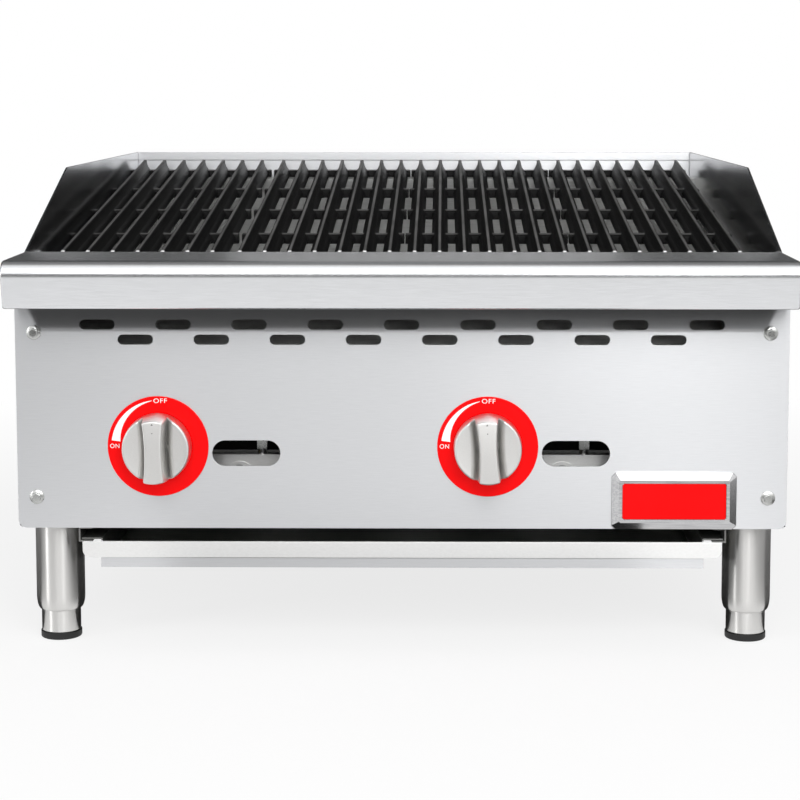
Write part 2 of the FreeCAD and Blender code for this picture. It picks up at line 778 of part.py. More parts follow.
def burner(name, x):
    """A cast burner: a mixer, a cross tube and two legs with a row of flame ports."""
    low, high = burner_low, burner_high
    start, stop = burner_start, burner_stop
    legs = (x, x + leg_spacing)
    half = burner_width / 2
    wall = burner_wall
    solids = [box(name + "Cross", (x - half, legs[1] + half), (start, start + burner_width), (low, high))]
    cuts = [box(name + "CrossBore", (x - half + wall, legs[1] + half - wall),
                (start + wall, start + burner_width - wall), (low + wall, high - wall))]
    for leg in legs:
        solids.append(box(name + "Leg", (leg - half, leg + half), (start, stop), (low, high)))
        cuts.append(box(name + "LegBore", (leg - half + wall, leg + half - wall),
                        (start + wall, stop - wall), (low + wall, high - wall)))
        for index in range(port_rows):
            y = start + 2 * burner_width + index * (stop - start - 3 * burner_width) / (port_rows - 1)
            cuts.append(box(name + "Port", (leg - half / 2, leg + half / 2), (y, y + wall / 2),
                            (high - 2 * wall, high + wall)))
    bell_length = (start - mixer_start) / 2
    bell = mixer_start + bell_length
    solids.append(cylinder(name + "Bell", mixer_diameter, bell_length, "y", x, mixer_start, knob_level))
    solids.append(cone(name + "Neck", mixer_diameter, burner_height, start - bell, "y",
                       x, bell, knob_level))
    cuts.append(cylinder(name + "BellBore", mixer_diameter - 2 * wall, bell_length - wall, "y",
                         x, mixer_start, knob_level))
    cuts.append(cylinder(name + "Throat", burner_height - 3 * wall, start + 2 * wall - mixer_start, "y",
                         x, mixer_start, knob_level))
    return cut(name, fuse(name + "Cast", solids), cuts)


def burner_hanger():
    """The shelf that the rear ends of the burners lie on."""
    low = burner_low
    face = rear_liner_face
    shelf = box("HangerShelf", centred(liner_inner), (face - hanger_depth, face), (low - gauge, low))
    upright = box("HangerUpright", centred(liner_inner), (face - gauge, face), (low, knob_level))
    return fuse("BurnerHanger", [shelf, upright])


def air_shutter(name, x):
    """A disc with three air windows that turns on the orifice hood."""
    start = mixer_start - clearance - shutter_thickness
    disc = cylinder(name + "Disc", mixer_diameter, shutter_thickness, "y", x, start, knob_level)
    hole = hood_diameter + 2 * clearance
    cuts = [cylinder(name + "Hole", hole, 3 * shutter_thickness, "y",
                     x, start - shutter_thickness, knob_level)]
    orbit = (mixer_diameter + hood_diameter) / 4
    for turn in (0, 120, 240):
        cuts.append(cylinder(name + "Window", shutter_window, 3 * shutter_thickness, "y",
                             x + orbit * sine(Size(f"{turn}", turn)), start - shutter_thickness,
                             knob_level + orbit * cosine(Size(f"{turn}", turn))))
    return cut(name, disc, cuts)


def radiant(name, x):
    """A heat radiant: sheet folded to a ridge over a burner leg, with a flat foot along each edge."""
    body = new_body(name)
    half = radiant_width / 2
    foot = radiant_angle / 3
    thick = radiant_gauge
    corners = [(-half, 0), (-half + foot, 0), (0, radiant_rise - thick), (half - foot, 0), (half, 0),
               (half, thick), (half - foot, thick), (0, radiant_rise),
               (-half + foot, thick), (-half, thick)]
    drawing = outline(body, name + "Section", "XZ_Plane", corners)
    pad(body, drawing, name + "Sheet", radiant_stop - radiant_start, reverse=True)
    return place(body, x, radiant_start, radiant_level)


def radiant_rails():
    """The two angle bars that the radiants lie on."""
    rails = []
    for side, flat, upright in (
            ("Front", (rail_front, rail_front + radiant_angle), (rail_front, rail_front + 2 * gauge)),
            ("Rear", (rear_liner_face - radiant_angle, rear_liner_face),
             (rear_liner_face - 2 * gauge, rear_liner_face))):
        level = (radiant_level - 2 * gauge, radiant_level)
        flat_bar = box(side + "RailFlat", centred(liner_inner), flat, level)
        upright_bar = box(side + "RailUpright", centred(liner_inner), upright,
                          (radiant_level - radiant_angle, radiant_level))
        rails.append(fuse(side + "RadiantRail", [flat_bar, upright_bar]))
    return group("RadiantRails", rails)


def grate_rests():
    """The two bars across the body that the grates lie on, leaning with them."""
    bars = []
    for side, start in (("Front", rest_inset), ("Rear", rear_rest_start)):
        bar = doc.addObject("Part::Box", side + "Rest")
        bind(bar, Length=2 * inner, Width=rest_height, Height=rest_height)
        y, z = on_slope(start, rest_foot)
        bars.append(tilt(place(bar, -inner, y, z)))
    return group("GrateRests", bars)


def grate(index):
    """A cast grate: ridged bars joined by crossbars, drawn level and then leant to the slope."""
    name = f"Grate{index}"
    body = new_body(name)
    half, ridge = bar_base / 2, bar_ridge / 2
    middle = cross_nub + half
    shoulder = -bar_height + bar_foot
    corners = [(middle - half, -bar_height), (middle + half, -bar_height), (middle + half, shoulder),
               (middle + ridge, 0), (middle - ridge, 0), (middle - half, shoulder)]
    drawing = outline(body, name + "BarSection", "XZ_Plane", corners)
    bar = pad(body, drawing, name + "Bar", grate_length, reverse=True)
    repeat(body, bar, name + "Bars", drawing, "H_Axis", (bar_count - 1) * bar_pitch, bar_count)
    drop = -cross_drop - cross_height
    corners = [(cross_inset, drop), (cross_inset + cross_width, drop),
               (cross_inset + cross_width, -cross_drop), (cross_inset, -cross_drop)]
    drawing = outline(body, name + "CrossSection", "YZ_Plane", corners)
    cross = pad(body, drawing, name + "Cross", grate_width)
    span = grate_length - 2 * cross_inset - cross_width
    repeat(body, cross, name + "Crosses", drawing, "H_Axis", span, cross_count)
    x = -inner + grate_inset + (index - 1) * (grate_width + grate_play)
    if index > 1:
        x = x + grate_gap
    return tilt(place(body, x, grate_tip, grate_front_level))


# ---------------------------------------------------------------- gas train and controls

def gas_manifold():
    """The closed pipe behind the panel, its bosses, and the elbow to the supply pipe."""
    y, z = manifold_y, manifold_level
    pipe = cylinder("ManifoldPipe", manifold_diameter, manifold_reach + supply_axis, "x",
                    -manifold_reach, y, z)
    elbow = doc.addObject("Part::Sphere", "ManifoldElbow")
    bind(elbow, Radius=elbow_diameter / 2)
    place(elbow, supply_axis, y, z)
    socket = cylinder("ManifoldSocket", elbow_diameter, elbow_diameter, "y", supply_axis, y, z)
    solids = [pipe, elbow, socket]
    bore = manifold_diameter - 2 * manifold_wall
    cuts = [cylinder("ManifoldBore", bore, manifold_reach + supply_axis - manifold_wall, "x",
                     -manifold_reach + manifold_wall, y, z),
            cylinder("SocketBore", inlet_diameter + 2 * stem_fit, elbow_diameter, "y", supply_axis,
                     y + elbow_diameter / 3, z),
            cylinder("ElbowBore", bore, elbow_diameter, "y", supply_axis, y, z)]
    for x in knob_axes:
        for offset, neck in ((0, valve_neck), (pilot_valve_offset, pilot_neck)):
            solids.append(cylinder("Boss", neck + 2 * manifold_wall, boss_rise, "z", x + offset, y, z))
            cuts.append(cylinder("BossBore", neck + 2 * stem_fit, 2 * boss_rise, "z", x + offset, y,
                                 z + bore / 4))
    return cut("GasManifold", fuse("ManifoldCast", solids), cuts)


def supply_pipe():
    """The pipe along the side cavity, its threaded end behind the rear panel."""
    start = manifold_y + elbow_diameter / 3
    thread_start = back + inlet_proud - thread_length
    pipe = cylinder("SupplyOuter", inlet_diameter, thread_start - start, "y",
                    supply_axis, start, manifold_level)
    thread = cylinder("SupplyThread", inlet_diameter - 2 * thread_depth, thread_length, "y",
                      supply_axis, thread_start, manifold_level)
    through = thread_start - start + 2 * thread_length
    bore = cylinder("SupplyBore", inlet_diameter - 2 * inlet_wall, through, "y",
                    supply_axis, start - gauge, manifold_level)
    return cut("SupplyPipe", fuse("SupplySolid", [pipe, thread]), [bore])


def gas_valve(name, x):
    """A brass valve: block, inlet neck down into the manifold, outlet neck to the rear."""
    half = valve_size / 2
    block = box(name + "Block", (x - half, x + half), (valve_front, valve_front + valve_length),
                (knob_level - half, knob_level + half))
    foot = manifold_level + manifold_diameter / 4
    inlet = cylinder(name + "Inlet", valve_neck, knob_level - foot, "z", x, manifold_y, foot)
    outlet = cylinder(name + "Outlet", outlet_diameter, outlet_length, "y", x,
                      valve_front + valve_length, knob_level)
    seat = cylinder(name + "Seat", stem_diameter + 2 * stem_fit, stem_depth + gauge, "y", x,
                    valve_front - gauge, knob_level)
    return cut(name, fuse(name + "Body", [block, inlet, outlet]), [seat])


def orifice_hoods():
    hoods = []
    for index, x in enumerate(knob_axes):
        outer = cylinder(f"Hood{index}Outer", hood_diameter, hood_length, "y", x, hood_front, knob_level)
        bore = cylinder(f"Hood{index}Bore", outlet_diameter + 2 * stem_fit, outlet_length, "y",
                        x, hood_front - gauge, knob_level)
        jet = cylinder(f"Hood{index}Jet", orifice, 2 * hood_length, "y", x, hood_front, knob_level)
        hoods.append(cut(f"Hood{index}", outer, [bore, jet]))
    return group("OrificeHoods", hoods)


def valve_stem(name, x):
    """The turning stem: it runs from the valve through the panel into the knob."""
    start = knob_back - stem_grip
    stop = valve_front + stem_depth
    rod = cylinder(name + "Rod", stem_diameter, stop - start, "y", x, start, knob_level)
    flat = box(name + "Flat", (x - stem_diameter, x + stem_diameter), (start - gauge, knob_back),
               (knob_level + stem_diameter / 2 - stem_flat, knob_level + stem_diameter))
    return cut(name, rod, [flat])


def knob(name, x):
    """A control knob: a round skirt with a waisted grip between two scoops."""
    top = knob_back - knob_depth
    disc = cylinder(name + "Disc", knob_diameter, knob_depth, "y", x, top, knob_level)
    scoop_depth = knob_depth - knob_skirt
    reach = knob_grip / 2 + knob_diameter
    cuts = [cylinder(name + "Scoop", 2 * knob_diameter, scoop_depth + gauge, "y",
                     x + side * reach, top - gauge, knob_level) for side in (-1, 1)]
    fit = stem_diameter + 2 * stem_fit
    bore = cylinder(name + "Bore", fit, stem_grip + gauge + clearance, "y",
                    x, knob_back - stem_grip - clearance, knob_level)
    key = box(name + "Key", (x - fit, x + fit), (top, knob_back + 2 * gauge),
              (knob_level + fit / 2 - stem_flat, knob_level + fit))
    return cut(name, disc, cuts + [cut(name + "Socket", bore, [key])])


def bezel(name, x):
    disc = cylinder(name + "Disc", bezel_diameter, bezel_thickness, "y", x, bezel_face, knob_level)
    hole = cylinder(name + "Hole", stem_hole, 3 * bezel_thickness, "y",
                    x, bezel_face - bezel_thickness, knob_level)
    return cut(name, disc, [hole])


def pilot_valves():
    """A small needle valve for each pilot, upright in its manifold boss, outlet to the rear."""
    valves = []
    for index, x in enumerate(knob_axes):
        at = x + pilot_valve_offset
        foot = manifold_level + manifold_diameter / 4
        stem = cylinder(f"PilotValve{index}Stem", pilot_neck, pilot_level + pilot_neck / 2 - foot, "z",
                        at, manifold_y, foot)
        outlet = cylinder(f"PilotValve{index}Outlet", pilot_neck - gauge, pilot_neck, "y",
                          at, manifold_y, pilot_level)
        valves.append(fuse(f"PilotValve{index}", [stem, outlet]))
    return group("PilotValves", valves)


def pilot_tubes():
    """The tube from each pilot valve over the bracket, down behind it, across and up to the pilot."""
    tubes = []
    radius = pilot_tube / 2
    low = manifold_level
    for index, axis in enumerate(knob_axes):
        x0, x1 = axis + pilot_valve_offset, axis + pilot_offset
        start = manifold_y + pilot_neck
        runs = [cylinder(f"Tube{index}Over", pilot_tube, pilot_y - start, "y", x0, start, pilot_level),
                cylinder(f"Tube{index}Down", pilot_tube, pilot_level - low, "z", x0, pilot_y, low),
                cylinder(f"Tube{index}Across", pilot_tube, x1 - x0, "x", x0, pilot_y, low),
                cylinder(f"Tube{index}Up", pilot_tube, bracket_top - low, "z", x1, pilot_y, low)]
        for x, z in ((x0, pilot_level), (x0, low), (x1, low)):
            bend = doc.addObject("Part::Sphere", f"Tube{index}Bend")
            bind(bend, Radius=radius)
            runs.append(place(bend, x, pilot_y, z))
        tubes.append(fuse(f"PilotTube{index}", runs))
    return group("PilotTubes", tubes)


def pilot_burners():
    """A pilot head on a stub, standing on the bracket's top fold."""
    pilots = []
    half = pilot_width / 2
    for index, axis in enumerate(knob_axes):
        x = axis + pilot_offset
        stub = cylinder(f"Pilot{index}Stub", pilot_tube + 2 * gauge, pilot_width / 2, "z",
                        x, pilot_y, bracket_top)
        head = box(f"Pilot{index}Head", (x - half, x + half), (pilot_y - half, pilot_y + half),
                   (bracket_top + half, bracket_top + half + pilot_width))
        slot = box(f"Pilot{index}Slot", (x - half / 2, x + half / 2),
                   (pilot_y - half / 4, pilot_y + pilot_width),
                   (bracket_top + pilot_width / 2 + gauge, bracket_top + pilot_width))
        pilots.append(cut(f"Pilot{index}", fuse(f"Pilot{index}Cast", [stub, head]), [slot]))
    return group("PilotBurners", pilots)


# ---------------------------------------------------------------- legs, tray, badge and bolts

def leg(name, x, y):
    """A tube leg with a rounded shoulder, bored for the foot, and a stud up through the base rail."""
    body = new_body(name)
    outer, bore = leg_diameter / 2, foot_diameter / 2 + clearance
    roof = body_bottom - gauge - leg_shoulder
    stud = leg_stud / 2
    corners = [(bore, leg_end), (bore + clearance, leg_end), (outer, leg_end + leg_shoulder),
               (outer, body_bottom), (stud, body_bottom), (stud, body_bottom + leg_stud),
               (0, body_bottom + leg_stud), (0, roof), (bore, roof)]
    drawing = outline(body, name + "Section", "XZ_Plane", corners, {2: leg_shoulder})
    turn = body.newObject("PartDesign::Revolution", name + "Turned")
    turn.Profile = drawing
    turn.ReferenceAxis = (drawing, ["V_Axis"])
    turn.Angle = 360
    return place(body, x, y, 0)


def foot(name, x, y):
    return cylinder(name, foot_diameter, foot_length, "z", x, y, pad_height)


def foot_pad(name, x, y):
    body = new_body(name)
    outer = pad_diameter / 2
    corners = [(0, 0), (outer, 0), (outer, pad_height), (0, pad_height)]
    drawing = outline(body, name + "Section", "XZ_Plane", corners, {1: pad_height / 6, 2: pad_height / 6})
    turn = body.newObject("PartDesign::Revolution", name + "Turned")
    turn.Profile = drawing
    turn.ReferenceAxis = (drawing, ["V_Axis"])
    turn.Angle = 360
    return place(body, x, y, 0)


def drip_tray():
    """The pull-out tray: a pan with flanges that ride on the runners, and a front plate to pull."""
    plate = new_body("TrayPlate")
    half = tray_plate_width / 2
    plate_top = body_bottom - tray_drop
    low = plate_top - tray_plate_height
    corners = [(-half, low), (half, low), (half, plate_top), (-half, plate_top)]
    drawing = outline(plate, "TrayPlateOutline", "XZ_Plane", corners, {0: tray_corner, 1: tray_corner})
    pad(plate, drawing, "TrayPlateSheet", tray_gauge)
    start = panel_face + tray_gauge
    stop = panel_face + tray_length
    place(plate, 0, start, 0)
    half = runner_face - runner_lip - tray_pan_play
    under = runner_low + gauge + clearance
    top = under + tray_gauge
    tray_bottom = top - tray_depth
    reach = runner_face - gauge - 2 * clearance
    pan = box("TrayPan", centred(half), (start, stop), (tray_bottom, top))
    flanges = box("TrayFlanges", centred(reach), (panel_back + 2 * gauge, stop), (under, top))
    inside = box("TrayInside", centred(half - tray_gauge), (start + tray_gauge, stop - tray_gauge),
                 (tray_bottom + tray_gauge, top + tray_gauge))
    notch = box("TrayFrontNotch", centred(half + tray_gauge), (start - tray_gauge, start + tray_gauge),
                (plate_top, top + tray_gauge))
    return cut("DripTray", fuse("TrayFolded", [plate, pan, flanges]), [inside, notch])


def badge_frame():
    """A frame with sloping sides and a shallow recess for the plate."""
    body = new_body("BadgeFrame")
    half, high = badge_width / 2, badge_height / 2
    corners = [(-half, -high), (half, -high), (half, high), (-half, high)]
    pad(body, outline(body, "BadgeBase", "XZ_Plane", corners), "BadgeFoot", badge_thickness / 3)
    drawing = outline(body, "BadgeBevel", "XZ_Plane", corners)
    bevel = pad(body, drawing, "BadgeSlope", badge_thickness)
    bind(bevel, TaperAngle=-badge_bevel)
    place(body, badge_centre, panel_face, badge_level)
    half, high = half - badge_border, high - badge_border
    recess = box("BadgeRecess", (badge_centre - half, badge_centre + half),
                 (panel_face - 2 * badge_thickness, badge_floor), (badge_level - high, badge_level + high))
    return cut("BadgeFrameCut", body, [recess])


def badge_plate():
    half = badge_width / 2 - badge_border - clearance / 3
    high = badge_height / 2 - badge_border - clearance / 3
    return box("BadgePlate", (badge_centre - half, badge_centre + half), (badge_floor - gauge, badge_floor),
               (badge_level - high, badge_level + high))


def panel_bolts():
    """Four flanged hexagon bolts through the panel and the side flanges."""
    bolts = []
    for x in centred(bolt_axis):
        for z in bolt_levels:
            disc = cylinder("BoltFlange", bolt_flange, gauge, "y", x, panel_face - gauge, z)
            head = doc.addObject("Part::Prism", "BoltHead")
            head.Polygon = 6
            bind(head, Circumradius=bolt_hexagon / 2 / cosine(Size("30", 30)), Height=bolt_thread - gauge)
            head.Placement.Rotation = TURN["y"]
            place(head, x, panel_face - bolt_thread, z)
            shank = cylinder("BoltShank", bolt_thread, 3 * gauge, "y", x, panel_face, z)
            bolts.append(fuse("PanelBolt", [disc, head, shank]))
    return group("PanelBolts", bolts)


# ---------------------------------------------------------------- the whole unit

SIDES = ("left", "right")

left_side = piece("side_panel_left", side_panel())
piece("side_panel_right", mirrored("SidePanelRight", left_side))
piece("rear_panel", rear_panel())
piece("front_panel", front_panel())
piece("front_lip", front_lip())
piece("base_rail_front", base_rail("FrontRail", panel_back + gauge))
piece("base_rail_rear", base_rail("RearRail", rear_inner - rail_depth))
left_runner = piece("tray_runner_left", tray_runner())
piece("tray_runner_right", mirrored("TrayRunnerRight", left_runner))
left_liner = piece("liner_left", liner())
piece("liner_right", mirrored("LinerRight", left_liner))
piece("liner_rear", rear_liner())
piece("front_baffle", front_baffle())
piece("grease_trough", grease_trough())
piece("burner_bracket", burner_bracket())
piece("burner_hanger", burner_hanger())
piece("radiant_rails", radiant_rails())
piece("grate_rests", grate_rests())
piece("gas_manifold", gas_manifold())
piece("supply_pipe", supply_pipe())
piece("orifice_hoods", orifice_hoods())
piece("pilot_valves", pilot_valves())
piece("pilot_tubes", pilot_tubes())
piece("pilot_burners", pilot_burners())
for side, x in zip(SIDES, knob_axes):
    title = side.capitalize()
    piece(f"burner_{side}", burner(f"Burner{title}", x))
    piece(f"air_shutter_{side}", air_shutter(f"Shutter{title}", x))
    piece(f"gas_valve_{side}", gas_valve(f"Valve{title}", x))
    piece(f"valve_stem_{side}", valve_stem(f"Stem{title}", x))
    piece(f"knob_{side}", knob(f"Knob{title}", x))
    piece(f"bezel_{side}", bezel(f"Bezel{title}", x))
    for place_in_pair, offset in enumerate((0, leg_spacing)):
        number_of = 2 * SIDES.index(side) + place_in_pair + 1
        piece(f"radiant_{number_of}", radiant(f"Radiant{number_of}", x + offset))
for index in range(1, grate_count + 1):
    piece(f"grate_{index}", grate(index))
for row, y in zip(("front", "rear"), leg_rows):
    for side, x in zip(SIDES, leg_columns):
        title = row.capitalize() + side.capitalize()
        piece(f"leg_{row}_{side}", leg(f"Leg{title}", x, y))
        piece(f"foot_{row}_{side}", foot(f"Foot{title}", x, y))
        piece(f"foot_pad_{row}_{side}", foot_pad(f"Pad{title}", x, y))
piece("drip_tray", drip_tray())
piece("badge_frame", badge_frame())
piece("badge_plate", badge_plate())
piece("panel_bolts", panel_bolts())

doc.recompute()

for thing in doc.Objects:
    if "Invalid" in thing.State or "Error" in thing.State:
        raise ValueError(f"{thing.Name} ({thing.Label}): {thing.State} {thing.getStatusString()}")
for label, thing in pieces.items():
    if thing.Shape.isNull() or not thing.Shape.isValid() or not thing.Shape.Solids:
        raise ValueError(f"{label} has no valid shape")

os.makedirs("parts", exist_ok=True)
for label, thing in pieces.items():
    thing.Shape.exportStep(f"parts/{label}.step")
print(f"{len(pieces)} sub-parts written")
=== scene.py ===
"""A countertop gas charbroiler in brushed stainless steel, with cast-iron grates and two knobs."""
import json
from math import copysign, cos, hypot, pi, radians, sin, sqrt

import bmesh
import bpy
from mathutils import Matrix, Vector

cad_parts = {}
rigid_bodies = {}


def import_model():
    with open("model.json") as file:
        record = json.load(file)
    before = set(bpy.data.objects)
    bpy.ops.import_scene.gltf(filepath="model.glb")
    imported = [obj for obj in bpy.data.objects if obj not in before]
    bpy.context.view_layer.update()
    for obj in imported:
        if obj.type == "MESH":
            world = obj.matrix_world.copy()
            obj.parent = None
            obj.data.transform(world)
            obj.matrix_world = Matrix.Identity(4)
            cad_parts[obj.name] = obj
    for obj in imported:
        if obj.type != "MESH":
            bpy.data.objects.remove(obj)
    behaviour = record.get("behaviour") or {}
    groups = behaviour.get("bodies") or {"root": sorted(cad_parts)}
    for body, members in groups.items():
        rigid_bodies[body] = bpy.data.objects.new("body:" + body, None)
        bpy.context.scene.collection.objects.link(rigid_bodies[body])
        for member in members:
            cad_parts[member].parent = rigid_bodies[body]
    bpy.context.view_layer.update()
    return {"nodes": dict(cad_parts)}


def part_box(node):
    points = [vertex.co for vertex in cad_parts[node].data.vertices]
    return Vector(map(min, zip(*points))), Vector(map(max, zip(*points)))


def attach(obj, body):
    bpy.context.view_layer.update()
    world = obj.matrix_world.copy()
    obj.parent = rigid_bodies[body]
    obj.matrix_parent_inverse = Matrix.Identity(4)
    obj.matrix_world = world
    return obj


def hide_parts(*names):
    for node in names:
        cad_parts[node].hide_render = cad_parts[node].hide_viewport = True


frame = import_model()

# Sizes below are in millimetres where a name or a comment doesn't say otherwise.
MM = 0.001
SIDES = ("left", "right")
ROWS = ("front", "rear")
GRATES = (1, 2, 3, 4)
FORWARD = Vector((0, -1, 0))
UPWARD = Vector((0, 0, 1))
MERGE = 0.001 * MM
WELD = 0.005 * MM
FLAT = radians(0.5)


# ---------------------------------------------------------------- materials

def linear(colour):
    """A hex sRGB colour as linear light, opaque."""
    parts = [int(colour[i:i + 2], 16) / 255 for i in (1, 3, 5)]
    return [p / 12.92 if p <= 0.04045 else ((p + 0.055) / 1.055) ** 2.4 for p in parts] + [1.0]


def add(tree, kind, settings=None, inputs=None):
    """Adds a shader node, gives it its settings, and sets or links its inputs."""
    made = tree.nodes.new("ShaderNode" + kind)
    for name, value in (settings or {}).items():
        setattr(made, name, value)
    for name, value in (inputs or {}).items():
        if isinstance(value, bpy.types.NodeSocket):
            tree.links.new(value, made.inputs[name])
        else:
            made.inputs[name].default_value = value
    return made


def blank(name):
    """An empty material: its node tree and its output node."""
    material = bpy.data.materials.new(name)
    material.use_nodes = True
    tree = material.node_tree
    tree.nodes.clear()
    return material, tree, add(tree, "OutputMaterial")


def noise_on(tree, spacing, detail=3.0, rough=0.55):
    """Noise on Object coordinates. spacing is the size of its marks along X, Y and Z."""
    place = add(tree, "TexCoord")
    scale = [1 / (size * MM) for size in spacing]
    stretched = add(tree, "Mapping", inputs={"Vector": place.outputs["Object"], "Scale": scale})
    return add(tree, "TexNoise", inputs={
        "Vector": stretched.outputs["Vector"], "Scale": 1.0, "Detail": detail, "Roughness": rough})


def ramp(tree, value, low, high, start=0.3, stop=0.7):
    """Maps the values from start to stop onto the range from low to high."""
    made = add(tree, "MapRange", inputs={
        "Value": value, "From Min": start, "From Max": stop, "To Min": low, "To Max": high})
    return made.outputs["Result"]


def blend(tree, factor, first, second):
    """Mixes two colours by a factor."""
    made = add(tree, "Mix", {"data_type": "RGBA"})
    tree.links.new(factor, made.inputs[0])
    for socket, colour in zip(made.inputs[6:8], (first, second)):
        if isinstance(colour, bpy.types.NodeSocket):
            tree.links.new(colour, socket)
        else:
            socket.default_value = colour
    return made.outputs[2]


def surface(material, tree, output, shader):
    """Ends a material's node tree in its shader."""
    tree.links.new(shader.outputs[0], output.inputs["Surface"])
    return material


def metal(name, light, dark, axis, roughness, spread, scratch, cloud, bump, stretch=0.0, turn=0.0, drawn=30):
    """A metal surface with scratches along one axis and slow clouds in its dullness.

    scratch and cloud are the sizes of those marks, and spread is how far the roughness strays.
    Real scratches are too fine to show, so they are drawn several times as coarse.
    stretch draws highlights out, along the axis where turn is 0 and across it where turn is 0.25.
    drawn is how many times longer than wide the scratches are: 1 for a cast or blasted skin.
    """
    material, tree, output = blank(name)
    fine = [scratch] * 3
    fine["XYZ".index(axis)] = scratch * drawn
    scratches = noise_on(tree, fine)
    clouds = noise_on(tree, [cloud] * 3, detail=2.0)
    varied = add(tree, "Math", {"operation": "MULTIPLY_ADD"}, {
        0: clouds.outputs["Fac"], 1: 0.35, 2: ramp(tree, scratches.outputs["Fac"], 0.0, 0.65)})
    lift = add(tree, "Bump", inputs={
        "Height": scratches.outputs["Fac"], "Strength": bump, "Distance": 0.02 * MM})
    along = [0.0, 0.0, 0.0]
    along["XYZ".index(axis)] = 1.0
    grain = add(tree, "VectorTransform", {
        "vector_type": "VECTOR", "convert_from": "OBJECT", "convert_to": "WORLD"}, {"Vector": along})
    shader = add(tree, "BsdfPrincipled", inputs={
        "Base Color": blend(tree, varied.outputs[0], linear(dark), linear(light)), "Metallic": 1.0,
        "Roughness": ramp(tree, varied.outputs[0], roughness + spread, roughness - spread, 0.2, 0.8),
        "Anisotropic": stretch, "Anisotropic Rotation": turn,
        "Tangent": grain.outputs["Vector"], "Normal": lift.outputs["Normal"]})
    return surface(material, tree, output, shader)


# Length of the painted highlight on the bars' front tips, in metres.
PAINTED_TIP_GLINT_LENGTH = 1.2 * MM
NO_TIPS = -1.0  # metres, far in front of every piece


def cast_iron(name, crust, wear_and_highlight_grey, roughness, tips=NO_TIPS):
    """Sand-cast iron, blackened by seasoning and fire: a grainy skin, greyer where it faces up, partly as
    rubbed wear and partly as a painted highlight.

    tips is the Y in metres in front of which the ends are painted near white as a highlight.
    """
    material, tree, output = blank(name)
    grain = noise_on(tree, [1.6] * 3, detail=5.0, rough=0.65)
    patches = noise_on(tree, [38.0, 60.0, 38.0], detail=3.0)
    facing = add(tree, "NewGeometry")
    upward = add(tree, "SeparateXYZ", inputs={"Vector": facing.outputs["Normal"]})
    # Faces turned up are greyed, partly as rubbed wear and partly as a painted highlight.
    wear_and_painted_highlight = add(tree, "Math", {"operation": "MULTIPLY"}, {
        0: ramp(tree, upward.outputs["Z"], 0.0, 1.0, 0.80, 0.97),
        1: ramp(tree, patches.outputs["Fac"], 0.45, 1.0)})
    skin = blend(tree, ramp(tree, patches.outputs["Fac"], 0.0, 1.0), linear(crust), linear("#232323"))
    varied = blend(tree, wear_and_painted_highlight.outputs[0], skin, linear(wear_and_highlight_grey))
    place = add(tree, "TexCoord")
    length = add(tree, "SeparateXYZ", inputs={"Vector": place.outputs["Object"]})
    # The front tips are painted near white: a painted highlight.
    painted_tip_glint = ramp(tree, length.outputs["Y"], 1.0, 0.0, tips, tips + PAINTED_TIP_GLINT_LENGTH)
    lift = add(tree, "Bump", inputs={
        "Height": grain.outputs["Fac"], "Strength": 0.55, "Distance": 0.35 * MM})
    shader = add(tree, "BsdfPrincipled", inputs={
        "Base Color": blend(tree, painted_tip_glint, varied, linear("#e4e4e4")), "Metallic": 0.55,
        "Roughness": ramp(tree, grain.outputs["Fac"], roughness - 0.08, roughness + 0.10),
        "Normal": lift.outputs["Normal"]})
    return surface(material, tree, output, shader)


def coated(name, light, dark, roughness, grit, bump, coat=0.0, metallic=0.0, shine=0.5):
    """A painted, printed or moulded surface: an even colour with a faint grain in its gloss.

    grit is the size of that grain, drawn coarser than a real one so that it shows.
    """
    material, tree, output = blank(name)
    grain = noise_on(tree, [grit] * 3, detail=4.0)
    clouds = noise_on(tree, [30.0] * 3, detail=2.0)
    lift = add(tree, "Bump", inputs={
        "Height": grain.outputs["Fac"], "Strength": bump, "Distance": 0.05 * MM})
    shader = add(tree, "BsdfPrincipled", inputs={
        "Base Color": blend(tree, ramp(tree, clouds.outputs["Fac"], 0.0, 1.0), linear(dark), linear(light)),
        "Roughness": ramp(tree, grain.outputs["Fac"], roughness - 0.04, roughness + 0.04),
        "Metallic": metallic, "Specular IOR Level": shine, "Coat Weight": coat, "Coat Roughness": 0.12,
        "Normal": lift.outputs["Normal"]})
    return surface(material, tree, output, shader)


# Stainless sheet, number 4 finish: belt-brushed in one direction, bright and soft-edged in its reflections.
STEEL_X = metal("stainless_brushed_across", "#dcdddf", "#d4d5d7", "X", roughness=0.38, spread=0.02,
                scratch=0.5, cloud=90.0, bump=0.05, stretch=0.75, turn=0.25)
# The rail's steel, painted lighter than the panel's: painted light.
STEEL_LIP_PAINTED_LIGHTER = metal("stainless_brushed_rail", "#eaebed", "#e2e3e5", "X", roughness=0.25, spread=0.02,
                  scratch=0.5, cloud=60.0, bump=0.03, stretch=0.6, turn=0.25)
STEEL_Y = metal("stainless_brushed_lengthwise", "#dcdddf", "#d4d5d7", "Y", roughness=0.17, spread=0.02,
                scratch=0.4, cloud=160.0, bump=0.03, stretch=0.35, turn=0.25)
# Stainless tube, polished on a belt: close to a mirror along its length.
TUBE = metal("stainless_tube_polished", "#dcdbd9", "#d8d7d5", "Z", roughness=0.30, spread=0.005,
             scratch=0.5, cloud=90.0, bump=0.0, stretch=0.9)
# Aluminised steel: hot-dipped and rolled, pale and matt with a soft spangle.
ALUMINISED = metal("aluminised_steel_rolled", "#dcdcda", "#cbcbc9", "X", roughness=0.48, spread=0.08,
                   scratch=1.4, cloud=40.0, bump=0.2)
